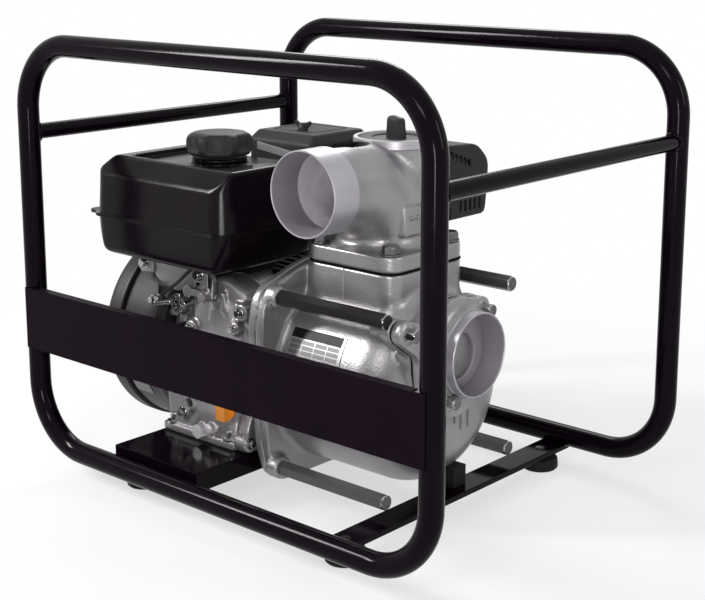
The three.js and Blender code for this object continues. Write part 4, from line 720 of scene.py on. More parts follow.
def casing_field(x, y, z):
    drum = extent(length(y, z - CASING_Z) - CASING, x, DRUM_START, CASING_END, DRUM_ROUND)
    flange = extent(convex(y, z, adapter_corners(0), 16), x, CASING_START, FLANGE_END, 1.8)
    plan = rectangle(x, y, *NECK_X, *NECK_Y, NECK_CORNER)
    neck = extent(plan, z, CASING_Z, NECK_TOP, 1.0)
    body = soft_min(soft_min(drum, flange, 12), neck, 13)
    boss = extent(disc(y, z, COVER_Y, COVER_Z, COVER - 7), x, 100, CASING_END, 3)
    rim = extent(cover_flat(y, z), x, CASING_END - 14, CASING_END, 1.2)
    body = soft_min(body, soft_min(boss, rim, 5), 12)
    for a, b in BARS.values():
        body = soft_min(body, extent(disc(y, z, a, b, 15), x, -14, 4, 2), 6)
    for a, b in COVER_BOLTS:
        body = soft_min(body, extent(disc(y, z, a, b, 11.5), x, 150, 180, 2), 8)
    body = soft_max(body, z - NECK_TOP, 1)
    return soft_max(body, CASING_START - x, 1)


def adapter_field(x, y, z):
    plate = extent(convex(y, z, adapter_corners(1.5), 15), x, *ADAPTER_X, 1.8)
    hub = extent(disc(y, z, 0, SHAFT_Z, HUB), x, HUB_START, ADAPTER_X[1], 3)
    return soft_min(plate, hub, 10)


def build_casing():
    grid = (-26, -164, 20), (194, 164, 328)
    cast("pump_casing_body", casing_field, "cast_aluminium", ["pump_casing"], *grid)
    grid = (-54, -162, 20), (-18, 162, 328)
    cast("adapter_plate_body", adapter_field, "cast_aluminium", ["adapter_plate"], *grid)


def build_casing_trim():
    """Ribs on the casing's end, parting lines on the neck, and the rubber block below."""
    ribs = [
        box_shape((184.5, y - 1.1, low), (188.4, y + 1.1, high))
        for y, low, high in ((4, 119, 146), (17.5, 108, 148), (32.5, 108, 148))
    ]
    piece("casing_end_ribs", merged(*ribs), "cast_aluminium")
    seams = [
        box_shape((SEAM_X[0], SEAM_Y[0], low), (SEAM_X[1], SEAM_Y[1], high))
        for low, high in ((262, NECK_TOP - 0.5), (FLANGE[0] + 2, FLANGE[1] - 2))
    ]
    piece("casing_parting_lines", merged(*seams), "machined_aluminium")
    block = box_shape((169, 2, 29.2), (187, 29, 57))
    piece("casing_mount", block, "rubber", bevel=1.5)


def cover_field(x, y, z):
    plate = extent(cover_flat(y, z), x, *COVER_PLATE, 2.2)
    pipe = extent(disc(y, z, 0, SUCTION_Z, PORT + 1), x, 190, 215, 2)
    body = soft_min(plate, pipe, 16)
    for a, b in COVER_BOLTS:
        body = soft_min(body, extent(disc(y, z, a, b, 12), x, 192, COVER_FACE, 1.5), 4)
    bore = np.maximum(disc(y, z, 0, SUCTION_Z, BORE + 2), 196 - x)
    eye = disc(y, z, 0, EYE_Z, EYE)
    return np.maximum(body, -np.minimum(bore, eye))


def port_ring(name, axis, a, b, mouth, root, way):
    """The turned end of a port: a ring that is thin at its mouth; inside, a rougher finish darkened as
    painted shade.
    """
    profile = [
        (BORE, root),
        (BORE, mouth - way * 22),
        (BORE + 1, mouth - way * 17),
        (PORT - 2.8, mouth - way * 3),
        (PORT - 2.2, mouth - way * 0.6),
        (PORT - 1.6, mouth),
        (PORT - 0.8, mouth),
        (PORT, mouth - way),
        (PORT, root),
    ]
    ring = piece(name, turned(profile, axis, a, b), "machined_aluminium")
    second_look(ring, "shaded_bore_casting", near_axis(axis, a, b, PORT - 2))


def build_cover():
    grid = (184, -140, 128), (222, 84, 296), 2
    cover = cast("suction_cover_body", cover_field, "cast_aluminium", ["suction_cover"], *grid)
    # Painted shade: the faces inside the bore take a rougher, darker finish.
    second_look(cover, "shaded_bore_casting", near_axis("x", 0, SUCTION_Z, BORE + 2.5))
    port_ring("suction_port_ring", "x", 0, SUCTION_Z, SUCTION_MOUTH, 196.4, 1)
    heads = [bolt_head("cover", "x", a, b, COVER_FACE) for a, b in COVER_BOLTS]
    bolts = piece("cover_bolts", merged(*heads), "bright_steel")
    # Painted shade: the heads' end faces take the darker steel, so that they don't show the white
    # surroundings.
    end = (COVER_FACE + 10.5) * MM
    second_look(bolts, "dull_and_shaded_steel", lambda p: p.normal.x > 0.95 and p.center.x > end)


def elbow_field(x, y, z):
    across = x - ELBOW_X
    turn = DISCHARGE_Z - BEND
    bend = length(length(y + BEND, z - turn) - BEND, across)
    upright = np.where(z < turn, length(across, y), 1e3)
    run = np.where(y < -BEND, length(across, z - DISCHARGE_Z), 1e3)
    centre = np.where((z >= turn) & (y >= -BEND), bend, np.minimum(upright, run))
    swell = np.clip((y + BEND + 24) / BEND, 0, 1)
    wide = 54.8 + 6.2 * swell * swell * (3 - 2 * swell)
    body = soft_max(centre - wide, -113 - y, 2)
    body = soft_max(body, FLANGE[0] - z, 2)
    flange = extent(rectangle(x, y, *NECK_X, *NECK_Y, NECK_CORNER), z, *FLANGE, 2.6)
    body = soft_min(body, flange, 20)
    tower = extent(disc(x, y, ELBOW_X, PRIMING_Y, TOWER), z, 340, 474, 1.5)
    body = soft_min(body, tower, 16)
    pad = extent(rectangle(y, z, -30, 10, 364, 402, 2), x, 60, ELBOW_X + 63.5, 1.0)
    body = soft_min(body, pad, 3)
    well = np.maximum(disc(x, y, ELBOW_X, PRIMING_Y, 44.6), 440 - z)
    return np.maximum(body, -np.minimum(centre - (BORE + 0.6), well))


def bore_wall():
    """A thin wall that lines the elbow's passage from its mouth to its flange, in a pale finish that paints
    light inside the passage.
    """
    path = [(ELBOW_X, -109, DISCHARGE_Z), (ELBOW_X, -95, DISCHARGE_Z)]
    steps, sides = 16, 64
    for i in range(steps + 1):
        turn = math.pi / 2 * (1 - i / steps)
        y, z = BEND * (math.cos(turn) - 1), BEND * (math.sin(turn) - 1)
        path.append((ELBOW_X, y, DISCHARGE_Z + z))
    path.append((ELBOW_X, 0, FLANGE[0]))
    outer, inner = [tube(path, radius, sides)[0] for radius in (BORE + 0.9, BORE)]
    rings = [outer[j::sides] + inner[j::sides][::-1] for j in range(sides)]
    return lofted(rings, closed=True)


def build_elbow():
    grid = (-14, -120, 320), (154, 88, 482), 2
    cast("discharge_elbow_body", elbow_field, "cast_aluminium", ["discharge_elbow"], *grid)
    port_ring("discharge_port_ring", "y", ELBOW_X, DISCHARGE_Z, DISCHARGE_MOUTH, -108, -1)
    # Painted light: the lining's pale finish brightens the passage.
    piece("discharge_bore_wall", bore_wall(), "lit_bore_casting")
    rim = [(44.8, 440), (44.8, 478.8), (50.6, 478.8), (50.6, 482.8), (51.8, PRIMING_TOP)]
    rim += [(56, PRIMING_TOP), (57, 483), (57, 473), (56, 472), (TOWER, 471), (TOWER, 440)]
    piece("priming_port_ring", turned(rim, "z", ELBOW_X, PRIMING_Y), "machined_aluminium")
    screws = [bolt_head("pad", "x", y, 387, ELBOW_X + 63.5) for y in (-16, -4)]
    piece("elbow_pad_screws", merged(*screws), "bright_steel")
    # The flange bolts take the darker steel all over: painted shade for the dark surroundings they reflect.
    for i, (x, y) in enumerate(FLANGE_BOLTS):
        head = bolt_head("flange", "z", x, y, FLANGE[1] + 0.3)
        piece(f"flange_bolt_{i + 1}", head, "dull_and_shaded_steel", [f"elbow_bolt_{i + 1}"], bevel=0.4)


def blade(y, half, rim, trim, outline):
    """A flat grip in an upright plane, whose outline (a function of a trim) is cut at its faces."""
    rings = []
    for along in (-half, -rim, rim, half):
        ring = outline(trim if abs(along) == half else 0)
        rings.append([(a, y + along, b) for a, b in ring])
    return lofted(rings)


def build_plug():
    x, y = ELBOW_X, PRIMING_Y
    levels = [(447, 40), (449, 43), (479.6, 43), (480.2, 49.6), (482.2, 49.6), (483, 48.4)]
    levels += [(483, 33), (481.4, 31)]

    def web(trim):
        top = [(x + 12 - trim, 507 - trim, 5), (x - 13 + trim, 512 - trim, 8)]
        return rounded([(x - 15 + trim, 478), (x + 15 - trim, 478)] + top, 8)

    shape = merged(stacked(levels, "z", x, y, 64), blade(y, 4, 3.3, 0.8, web))
    piece("priming_plug_body", shape, "grey_plastic", ["priming_plug"], body="priming_plug")


def build_bars():
    start, end = -7.7, 184.3
    for node, (y, z) in BARS.items():
        levels = [(start, hexagon(BAR_ACROSS)), (end - 2.5, hexagon(BAR_ACROSS))]
        levels += [(end - 0.9, hexagon(BAR_ACROSS, 9.9)), (end, hexagon(BAR_ACROSS, 9.0))]
        # The front upper bar takes a darker copy of the bar finish: painted shade for the dark surroundings
        # it reflects.
        finish = "shaded_bar_finish" if z > 100 and y < 0 else "usual_bar_finish"
        rod = piece(node + "_rod", stacked(levels, "x", y, z), finish, [node], sharp=24)
        edge = (end - 2.3) * MM
        second_look(rod, "bright_steel", lambda p: p.center.x > edge and abs(p.normal.x) < 0.98)


def wrapped(name, z, radius, span_x, span_turn, finish, thick=0.9):
    """A thin sheet bent round an X axis, between two angles in degrees from +Y."""
    steps = 12
    first, last = span_turn
    turns = [math.radians(first + (last - first) * i / steps) for i in range(steps + 1)]
    outline = []
    for reach, order in ((radius + thick, 1), (radius, -1)):
        outline += [(reach * math.cos(t), z + reach * math.sin(t)) for t in turns[::order]]
    low, high = span_x
    piece(name, prism(outline, "x", low, low + 1, high - 1, high), finish, sharp=50)


def build_plates():
    """Blank plates on the drum's shoulder: a header over a pale grid."""
    top = CASING + 0.7
    wrapped("rating_plate", CASING_Z, CASING + 0.1, (6, 99), (144.5, 160.5), "blank_plate")
    wrapped("rating_header", CASING_Z, top, (8, 94), (145, 150.6), "plate_header")
    for i in range(12):
        left = 9 + i % 4 * 21.5
        start = 151.6 + i // 4 * 3
        span_x, span_turn = (left, left + 19.5), (start, start + 2.3)
        wrapped(f"rating_field_{i + 1}", CASING_Z, top, span_x, span_turn, "plate_field", 0.5)


# Engine


def tank_field(x, y, z):
    low_x, high_x, low_y, high_y = TANK
    plan = rectangle(x, y, low_x, high_x, low_y, high_y, 6)
    side = np.abs(x - (low_x + high_x) / 2) - (high_x - low_x) / 2
    end = np.abs(y - (low_y + high_y) / 2) - (high_y - low_y) / 2
    plan = soft_max(plan, (side + end + 17) * 0.7071, 7) + 0.05 * np.abs(z - TANK_SEAM)
    wide, drop = 25, 29
    run = math.hypot(wide, drop)
    rise = (z - TANK_TOP + drop) * wide / run
    body = soft_max(plan, z - TANK_TOP, 5)
    for outward in (low_x - x, low_y - y, y - high_y):
        body = soft_max(body, outward * drop / run + rise, 4)
    chamfer, deep = 17, 34
    run = math.hypot(chamfer, deep)
    sink = (TANK_BOTTOM + deep - z) * chamfer / run
    for outward in (low_x - x, x - high_x):
        body = soft_max(body, outward * deep / run + sink, 14)
    body = soft_max(body, TANK_BOTTOM - z, 12)
    dip = soft_max(rectangle(x, y, -290, -105, -132, 90, 16), TANK_TOP - 7 - z, 3)
    seat = extent(disc(x, y, CAP_X, CAP_Y, 38), z, TANK_TOP - 30, TANK_TOP + 2, 1)
    return np.minimum(soft_max(body, -dip, 3), seat)


def build_tank():
    low_x, high_x, low_y, high_y = TANK
    low = (low_x - 6, low_y - 6, TANK_BOTTOM - 6)
    high = (high_x + 6, high_y + 6, TANK_TOP + 6)
    nodes = ["tank_upper_half", "tank_lower_half"]
    cast("tank_shell", tank_field, "tank_paint", nodes, low, high, 2)
    grow, thick = 2.6, 2.2
    outline = box_outline(low_x - grow, high_x + grow, low_y - grow, high_y + grow, 24, 10)
    for name, z in (("tank_seam_upper", 357.2), ("tank_seam_lower", 354.6)):
        piece(name, prism(outline, "z", z, z + thick), "tank_paint", bevel=0.7)
    tab = rounded([(-354, -158, 9), (-334, -158), (-334, -130), (-354, -130, 9)])
    piece("tank_seam_tab", prism(tab, "z", 354.4, 359.4), "grey_plastic", slot=None, bevel=0.8)
    build_cap()


def cap_radius(shrink, depth):
    """The cap's plan: six wide grips, one of which faces the front corner."""

    def radius(t):
        part = abs(folded(t + math.radians(46)))
        rise = min(max((part - math.radians(19)) / math.radians(4), 0), 1)
        rise = rise * rise * (3 - 2 * rise)
        return CAP - shrink - depth * (1 - rise)

    return radius


def build_cap():
    skirt = [(445, 7, 0), (446, 4.5, 0), (449, 2.5, 0), (451.5, 1.2, 1)]
    grips = [(453, 0.4, 4.6), (456, 0, 6), (464, 0, 6), (468, 0.6, 5.8), (471, 2.2, 4.6)]
    crown = [(473.5, 5, 2.2), (475.6, 9.5, 0), (476.7, 16, 0), (477, 28, 0), (477, 42, 0)]
    levels = [(z, cap_radius(shrink, depth)) for z, shrink, depth in skirt + grips + crown]
    shape = stacked(levels, "z", CAP_X, CAP_Y, 144)
    piece("fuel_cap_body", shape, "cap_plastic", ["fuel_cap"], body="fuel_cap", sharp=75)


CASE_CROWN = [(-198, 190), (-74, 190), (-76, 258), (-104, 284), (-134, 289), (-192, 262)]
CASE_SUMP = [(-146, 56), (0, 56), (0, 168), (-110, 150), (-146, 96)]
CASE_COVER_SUMP = [(-146, 56), (0, 56), (0, 175), (-104, 158), (-146, 92)]
CASE_RIBS = [
    (-155, 253, -174, 230, 3.5, 3),
    (-122, 262, -119, 240, 3.5, 3),
    (-141, 238, -146, 206, 3, 3),
    (-96, 252, -90, 196, 4, 4),
    (-214, 236, -196, 176, 5, 4),
]
CASE_BOSSES = [
    (-159.5, 108.6, 11, -147),
    (-205, 236, 12, CONTROL_FACE),
    (-80, 246, 12, CONTROL_FACE),
    (-92, 222, 10, -126),
    (-178, 208, 11, -126),
    (*OIL_PLUG, 18, -142.8),
    (-170, 94, 9, -150),
]
CASE_BOLTS = [(-140, 74), (-116, 150), (-106, 210), (-60, 242), (0, 242), (90, 74)]
FRONT_BOLTS = [(x, z, face) for x, z, _, face in (CASE_BOSSES[i] for i in (2, 3, 1, 4))]


def along_cylinder(y, z):
    """The places of a point along and across the tilted cylinder."""
    cos, sin = math.cos(CYLINDER_TILT), math.sin(CYLINDER_TILT)
    return y * cos + (z - SHAFT_Z) * sin, -y * sin + (z - SHAFT_Z) * cos


def cylinder_room(x, y, z):
    """The block that the slanted cylinder takes out of the crankcase."""
    along, across = along_cylinder(y, z)
    wide = np.maximum(np.abs(x - CYLINDER_X), np.abs(across)) - CYLINDER_HALF
    return np.maximum(wide, CYLINDER_START - along)


def case_field(x, y, z):
    main = convex(y, z, CASE_PLAN, 10)
    sump = convex(y, z, CASE_SUMP, 14)
    body = extent(soft_min(main, sump, 14), x, *CASE_X, 5)
    slant = ((x + 227) * -54 + (z - 120) * -34) / 63.8
    body = soft_max(body, np.where(y < -40, slant, slant - (y + 40) * 0.8), 8)
    foot = extent(rectangle(x, y, -214, CASE_X[1], -150, 116, 6), z, 50, CASE_FOOT_TOP, 2)
    body = soft_min(body, foot, 6)
    belly = extent(length(y + 116, z - 104) - 31, x, -158, -76, 18)
    spine = extent(spoke(x, z, -174, 134, -160, 110, 4.5, 5), y, -148.5, -100, 2.5)
    body = soft_min(soft_min(body, belly, 10), spine, 6)
    dome = extent(disc(x, z, -140, 210, 46), y, -116.5, -40, 12)
    crown = extent(convex(x, z, CASE_CROWN, 14), y, -110, -66, 10)
    body = soft_min(soft_min(body, crown, 10), dome, 12)
    for run in CASE_RIBS:
        body = soft_min(body, extent(spoke(x, z, *run), y, CASE_FRONT, -60, 2.5), 6)
    for a, b, radius, face in CASE_BOSSES:
        body = soft_min(body, extent(disc(x, z, a, b, radius), y, face, -60, 2), 6)
    hole = np.maximum(disc(x, z, -159.5, 108.6, 6), y + 128)
    pocket = np.maximum(disc(x, z, -112, 186, 8), y + 108)
    cut = np.minimum(np.minimum(hole, pocket), cylinder_room(x, y, z))
    return np.maximum(np.maximum(body, CASE_BASE - z), -cut)


def case_cover_field(x, y, z):
    main = convex(y, z, CASE_PLAN, 10)
    sump = convex(y, z, CASE_COVER_SUMP, 16)
    body = extent(soft_min(main, sump, 18), x, *CASE_COVER_X, 4)
    for a, b in CASE_BOLTS:
        ear = extent(disc(y, z, a, b, 11), x, CASE_COVER_X[0], CASE_COVER_FACE, 2)
        body = soft_min(body, ear, 6)
    along, across = along_cylinder(y, z)
    seat = np.maximum(np.abs(across) - CYLINDER_HALF, CYLINDER_START - along)
    return np.maximum(np.maximum(body, CASE_BASE - z), -seat)


def build_engine():
    finish = "engine_casting"
    grid = (-232, -156, 56), (-64, 122, 296)
    cast("crankcase_body", case_field, finish, ["crankcase"], *grid)
    grid = (-75, -156, 56), (-44, 122, 258)
    cast("crankcase_cover_body", case_cover_field, finish, ["crankcase_cover"], *grid)
    heads = [bolt_head("case_cover", "x", a, b, CASE_COVER_FACE) for a, b in CASE_BOLTS]
    piece("crankcase_cover_bolts", merged(*heads), "bright_steel")
    base = [bolt_head("mount", "z", x, -140, CASE_FOOT_TOP) for x in (-197, -84)]
    piece("engine_mount_bolts", merged(*base), "bright_steel")
    front = [bolt_head("case_low", "y", -170.5, 94, -150, -1)]
    front += [bolt_head("case_front", "y", x, z, face - 0.2, -1) for x, z, face in FRONT_BOLTS]
    piece("crankcase_front_bolts", merged(*front), "bright_steel")
    levels = [(-145, 9), (-149, 9), (-150, hexagon(14)), (-157, hexagon(14)), (-158, 5.5)]
    piece("oil_level_bolt", stacked(levels, "y", -112, 84), "white_zinc")
    build_oil_plug()
    build_bracket()
    build_speed_control()


def build_oil_plug():
    x, z = OIL_PLUG
    face, wide, half_high = -143.4, 8.5, 14.5
    neck = stacked([(-130, 10), (face, 10)], "y", x, z)
    head = stacked([(face, 13.6), (-144, 14.6), (-146.6, 14.6), (-147.2, 13.6)], "y", x, z)
    grip = box_shape((x - wide, -159, z - half_high), (x + wide, -147, z + half_high))
    shape, nodes = merged(neck, head, grip), ["oil_filler_plug"]
    piece("oil_filler_plug_body", shape, "orange_plastic", nodes, body="oil_filler_plug", bevel=0.6)


def build_bracket():
    """The sheet that holds the tank's front, with its two ears."""
    back = -110
    left = [(-295, 301.5), (-295, 276), (-289, 270), (-263, 273), (-263, 301.5)]
    right = [(-180, 301.5), (-180, 273), (-149, 270), (-149, 301.5)]
    web = [(-263, 290), (-263, 268), (-248, 258), (-217, 252), (-180, 262), (-180, 288), (-222, 292)]
    sheets = [prism(ear, "y", CASE_FRONT, back) for ear in (left, right)]
    sheets.append(prism(rounded([(a, b, 3) for a, b in web], 4), "y", -114, back))
    piece("tank_bracket_sheet", merged(*sheets), "engine_casting", ["tank_bracket"], bevel=0.8)


def build_speed_control():
    """The small parts in front of the crankcase: screws, a spring, a rod and two levers."""
    x, y = -141, -118
    screws = [bolt_head("bracket", "y", a, 284, CASE_FRONT, -1) for a in (-281, -167)]
    screws.append(stacked([(259, 6), (262, 7), (290, 7), (291, 6)], "z", x, y, 36))
    screws.append(stacked([(254, 4), (255, 5.5), (262, hexagon(14))], "z", x, y))
    for a, b in ((-243, 239), (-205, 247), (-195, 237), (-210, 226), (-257, 235)):
        screws.append(bolt_head("control", "y", a, b, CONTROL_FACE, -1))
        screws.append(stacked([(-125, 5), (-112, 5)], "y", a, b, 24))
    piece("speed_control_screws", merged(*screws), "bright_steel")
    coil, turns, steps, wide = [], 12, 240, 4
    for i in range(steps + 1):
        t = i / steps
        turn = 2 * math.pi * turns * t
        at = (-246 + 40 * t, -130 + wide * math.cos(turn), 232 + 10 * t + wide * math.sin(turn))
        coil.append(at)
    piece("speed_control_spring", tube(coil, 0.7, 8), "bright_steel")
    rod = [(-176, -122, 292), (-190, -124, 280), (-203, -126, 268), (-231, -127, 250), (-236, -127, 244)]
    piece("speed_control_rod", tube(rod, 2.6, 20), "black_plastic")
    lever = [(-272, 262, 5), (-246, 260, 5), (-248, 240, 4), (-262, 226, 3), (-278, 218, 4), (-266, 240, 4)]
    arm = [(-250, 244, 4), (-196, 232, 5), (-192, 222, 5), (-246, 232, 4)]
    plates = [prism(rounded(lever, 5), "y", -123, -120)]
    plates.append(prism(rounded(arm, 5), "y", CASE_FRONT, -114.5))
    piece("speed_control_plates", merged(*plates), "dull_and_shaded_steel", slot="black_steel", bevel=0.5)


def housing_field(x, y, z):
    drum = disc(y, z, 0, SHAFT_Z, HOUSING)
    duct = rectangle(y, z, 20, 174, 33, HOUSING_TOP, 10)
    flat = soft_max(soft_min(drum, duct, 10), z - HOUSING_TOP, 8)
    body = extent(flat, x, *HOUSING_X, 7)
    bead = extent(np.abs(flat + 0.5) - 1.6, x, -246, -240, 1.4)
    return soft_min(body, np.maximum(bead, flat), 3)


def recoil_field(x, y, z):
    front, back = RECOIL_X
    flat = soft_max(disc(y, z, 0, SHAFT_Z, RECOIL), z - HOUSING_TOP, 8)
    body = soft_max(extent(flat, x, front, back + 30, 15), x - back, 2)
    radius = length(y, z - SHAFT_Z)
    near = folded(np.arctan2(z - SHAFT_Z, y), math.pi / 6)
    slot = rectangle(radius * np.cos(near), radius * np.sin(near), 72, 112, -5, 5, 4)
    slots = np.maximum(slot, x - front - 6)
    groove = np.maximum(np.abs(radius - 124) - 1.5, x - front - 1.5)
    return soft_max(body, -np.minimum(slots, groove), 1.5)


def build_housing():
    grid = (-320, -146, 22), (-220, 180, 306), 3
    cast("blower_housing_body", housing_field, "black_steel", ["blower_housing"], *grid)
    grid = (-356, -150, 18), (-308, 150, 306)
    cast("recoil_cover_body", recoil_field, "black_steel", ["recoil_cover"], *grid)
    wrapped("housing_label_1", SHAFT_Z, HOUSING, (-313, -262), (199, 202.5), "blank_plate")
    wrapped("housing_label_2", SHAFT_Z, HOUSING, (-306, -270), (204, 214), "plate_field")


def air_field(x, y, z):
    low_x, high_x, low_y, high_y = AIR
    plan = rectangle(x, y, low_x, high_x, low_y, high_y, 14)
    body = extent(plan, z, AIR_SEAM, AIR_TOP, 2)
    body = soft_max(body, (plan + (z - AIR_TOP + 13)) * 0.7071, 3)
    panel = rectangle(x, y, low_x + 28, high_x - 28, low_y + 26, high_y - 26, 8)
    groove = np.maximum(np.abs(panel) - 1.4, AIR_TOP - 1.6 - z)
    hole = np.maximum(disc(x, y, *WING_NUT, 4), AIR_TOP - 8 - z)
    return soft_max(body, -np.minimum(groove, hole), 1)


def build_air():
    low_x, high_x, low_y, high_y = AIR
    low = (low_x - 5, low_y - 5, AIR_SEAM - 5)
    high = (high_x + 5, high_y + 5, AIR_TOP + 5)
    nodes = ["air_cleaner_cover"]
    cast("air_cleaner_body", air_field, "black_plastic", nodes, low, high, 2)
    # A thin pale grey strip, sloped, on the cover's front face.
    strip = prism([(-203, 439), (-129, 430), (-129, 441), (-203, 450)], "y", 33.4, 35.4)
    piece("air_cleaner_pale_strip", strip, "pale_strip", bevel=0.4)
    tray = prism(box_outline(low_x + 5, high_x - 5, low_y + 5, high_y - 5, 16), "z", 371.7, 397.5)
    plate = prism(box_outline(*AIR, 18), "z", 395, 397.6)
    stud = stacked([(380, 3), (472, 3), (473.5, 2.2)], "z", *WING_NUT, 24)
    shape, nodes = merged(tray, plate, stud), ["air_cleaner_base"]
    piece("air_cleaner_tray", shape, "black_plastic", nodes, bevel=0.6)
    build_wing_nut()


def build_wing_nut():
    x, y = WING_NUT
    parts = [stacked([(466.3, 7.5), (468, 7.5), (475.6, 5.6), (476.3, 4.8)], "z", x, y, 32)]
    for side in (-1, 1):

        def wing(trim):
            low = [(3, 468), (10 - trim, 470 + trim, 3), (16 - trim, 476, 3)]
            high = [(15 - trim, 481.2 - trim, 2.4), (8, 477 - trim, 3), (3, 475)]
            return rounded([(x + side * out, *rest) for out, *rest in low + high], 4)

        parts.append(blade(y, 2, 1.2, 0.7, wing))
    nodes = ["wing_nut"]
    piece("wing_nut_body", merged(*parts), "black_steel", nodes, body="wing_nut", slot="bright_steel")


def guard_field(x, y, z):
    outline = [(116, 352), (222, 352), (229, 390), (229, 430), (202, 455), (132, 461), (116, 461)]
    flat = convex(y, z, outline, 9)
    body = extent(flat, x, -92, 70, 5)
    body = np.maximum(body, -extent(flat + 3, x, -88, 66, 3))
    holes = rectangle(y, z, 100, 140, 330, 372, 3)
    for i in range(5):
        row, top = 10 * i, 447 - 3.6 * i
        upper = spoke(y, z, 140 + row, top, 143 + row, top - 5, 3, 3)
        lower = rectangle(y, z, 160 + 11 * i, 165 + 11 * i, 362, 378, 2)
        holes = np.minimum(holes, np.minimum(upper, lower))
    slots = np.maximum(holes, 60 - x)
    for low in range(-74, 50, 18):
        side = extent(rectangle(x, z, low, low + 9, 384, 424, 4), y, 100, 122, 1)
        slots = np.minimum(slots, side)
    return soft_max(body, -slots, 1)


def build_guard():
    grid = (-98, 110, 346), (76, 236, 468), 1.8
    cast("muffler_guard_shell", guard_field, "guard_paint", ["muffler_guard"], *grid)


# CAD solids that stay: their own mesh with a finish, and a softened edge where the table gives a width.

KEPT = {
    "engine_pan": ("frame_paint", 1.2),
    "pump_crossbar": ("frame_paint", 1.0),
    "front_panel": ("panel_paint", 0.7),
    "casing_seam_gasket": ("gasket", 0),
    "discharge_gasket": ("gasket", 0),
    "muffler": ("cast_iron", 0),
    "throttle_lever": ("zinc", 0.6),
    "choke_lever": ("grey_plastic", 0.6),
    "engine_switch": ("grey_plastic", 0.8),
    "oil_drain_bolt": ("white_zinc", 0.6),
    "carburettor": ("engine_casting", 1.0),
    # The cylinder and its head take the dark guard finish, so that they show dark behind the tank.
    "cylinder": ("guard_paint", 0.5),
    "cylinder_head": ("guard_paint", 0.5),
    "rocker_cover": ("black_steel", 1.5),
    "check_valve_flap": ("flap_rubber", 0.6),
    "shaft_seal": ("seal", 0),
}


def dress_kept():
    """Every CAD node gets its finish from the table above or its slot; a shown node whose table entry gives
    a width also gets a softened edge.
    """
    slots = {part["node"]: part["material_slot"] for part in frame["record"]["subparts"]}
    for name, obj in frame["nodes"].items():
        finish, bevel = KEPT.get(name, (slots[name], 0))
        obj.data.materials.clear()
        obj.data.materials.append(LOOK[finish])
        obj.data.shade_smooth()
        obj.data.set_sharp_from_angle(angle=SOFT_ANGLE)
        if bevel and not obj.hide_render:
            weld = obj.modifiers.new("weld", "WELD")
            weld.merge_threshold = MERGE_DISTANCE
            soften(obj, bevel, 2)


# Stage: places in metres, angles in degrees

CAMERA_PLACE = (1.2666, -1.4117 + CENTRE_Y * MM, 0.7487)
CAMERA_DOWN = 11.795
CAMERA_TURN = 41.636
CAMERA_LENS = 73.12
CAMERA_SENSOR = 36
CAMERA_SHIFT = -0.1
CAMERA_REACH = 50
FLOOR_HALF = 40
FLOOR_TONE = (0.9, 0.9, 0.9, 1)
FLOOR_FADE = {"From Min": 0.5, "From Max": 1.25, "To Min": 0.62, "To Max": 1.0}
SKY = (0.93, 0.94, 1.0, 1)
SKY_STRENGTH = 0.42

# Lamps: place, height aimed at, size, power, whether it lights matt surfaces
LAMPS = {
    "key": ((-1.75, -1.7, 1.75), 0.3, (0.3, 1.0), 60, True),
    "glint": ((-1.75, -1.7, 1.75), 0.3, (0.12, 1.0), 42, False),
    "front": ((1.0, -2.6, 2.0), 0.3, (0.9, 0.5), 17, True),
    "low": ((1.78, -2.2, 0.44), 0.35, (0.26, 0.82), 26, True),
    "side": ((2.5, 0.5, 1.4), 0.3, (0.5, 1.2), 14, True),
    "rim": ((-1.4, 1.8, 2.0), 0.4, (1.2, 0.8), 22, True),
}


def build_camera():
    camera = bpy.data.cameras.new("camera")
    camera.sensor_width = CAMERA_SENSOR
    camera.lens = CAMERA_LENS
    camera.shift_y = CAMERA_SHIFT
    camera.clip_end = CAMERA_REACH
    view = link(bpy.data.objects.new("camera", camera))
    view.location = CAMERA_PLACE
    view.rotation_euler = (math.radians(90 - CAMERA_DOWN), 0, math.radians(CAMERA_TURN))
    bpy.context.scene.camera = view


def area_light(name, place, height, size, power, matt):
    lamp = bpy.data.lights.new(name, "AREA")
    lamp.shape = "RECTANGLE"
    lamp.size, lamp.size_y = size
    lamp.energy = power
    obj = link(bpy.data.objects.new(name, lamp))
    obj.location = place
    obj.visible_diffuse = matt
    aim = Vector((0, 0, height)) - Vector(place)
    obj.rotation_euler = aim.to_track_quat("-Z", "Y").to_euler()


def math_node(tree, operation, first, second):
    node = add(tree, "ShaderNodeMath", {0: first, 1: second})
    node.operation = operation
    return node.outputs[0]


def seen_ray(tree):
    """One where a camera, glossy or transmission ray looks, and nothing elsewhere."""
    path = add(tree, "ShaderNodeLightPath").outputs
    total = math_node(tree, "MAXIMUM", path["Is Camera Ray"], path["Is Glossy Ray"])
    return math_node(tree, "MAXIMUM", total, path["Is Transmission Ray"])


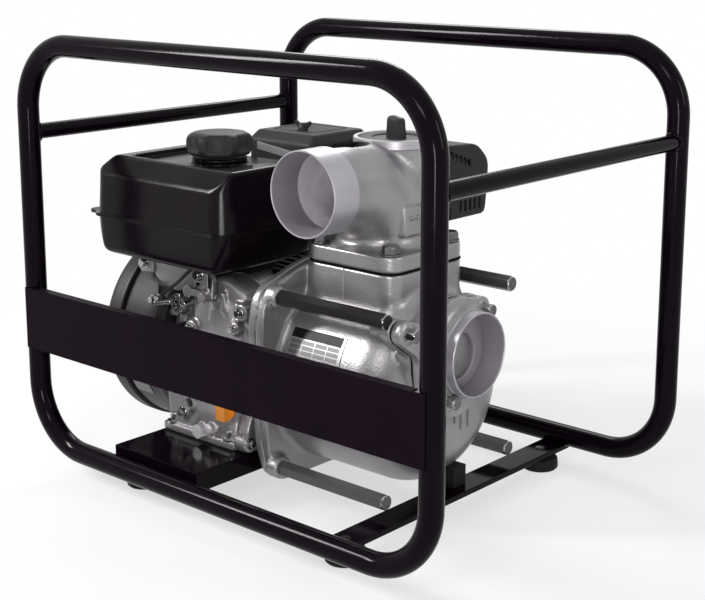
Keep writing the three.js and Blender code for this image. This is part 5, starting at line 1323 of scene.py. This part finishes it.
def mixed(tree, share, first, second, end):
    """Sends a mix of two surfaces to the tree's end."""
    mix = add(tree, "ShaderNodeMixShader", {0: share, 1: first, 2: second})
    feed(tree, tree.nodes[end], {"Surface": mix.outputs["Shader"]})


def build_world():
    world = bpy.data.worlds.new("studio")
    world.use_nodes = True
    bpy.context.scene.world = world
    tree = world.node_tree
    sky = tree.nodes["Background"]
    feed(tree, sky, {"Color": SKY, "Strength": SKY_STRENGTH})
    white = add(tree, "ShaderNodeBackground", {"Color": WHITE, "Strength": 1.0})
    mixed(tree, seen_ray(tree), sky.outputs[0], white.outputs[0], "World Output")


def build_floor():
    """A pale floor that turns to plain white away from the object."""
    mesh = bpy.data.meshes.new("floor")
    square = [(-1, -1), (1, -1), (1, 1), (-1, 1)]
    mesh.from_pydata([(x * FLOOR_HALF, y * FLOOR_HALF, 0) for x, y in square], [], [(0, 1, 2, 3)])
    floor = link(bpy.data.objects.new("floor", mesh))
    look = bpy.data.materials.new("floor")
    look.use_nodes = True
    tree = look.node_tree
    matt = tree.nodes["Principled BSDF"]
    feed(tree, matt, {"Base Color": FLOOR_TONE, "Roughness": 0.9, "Specular IOR Level": 0.1})
    glow = add(tree, "ShaderNodeEmission", {"Color": WHITE, "Strength": 1.0})
    place = add(tree, "ShaderNodeTexCoord").outputs["Object"]
    reach = add(tree, "ShaderNodeVectorMath", {0: place})
    reach.operation = "LENGTH"
    fade = add(tree, "ShaderNodeMapRange", {"Value": reach.outputs["Value"], **FLOOR_FADE})
    fade.interpolation_type = "SMOOTHSTEP"
    share = math_node(tree, "MULTIPLY", seen_ray(tree), fade.outputs["Result"])
    mixed(tree, share, matt.outputs[0], glow.outputs[0], "Material Output")
    mesh.materials.append(look)


def build_stage():
    build_camera()
    build_world()
    build_floor()
    for name, lamp in LAMPS.items():
        area_light(name, *lamp)
    bpy.context.scene.view_settings.view_transform = "Standard"


build_stage()
build_frame()
build_casing()
build_casing_trim()
build_cover()
build_elbow()
build_plug()
build_bars()
build_plates()
build_tank()
build_engine()
build_housing()
build_guard()
build_air()
dress_kept()
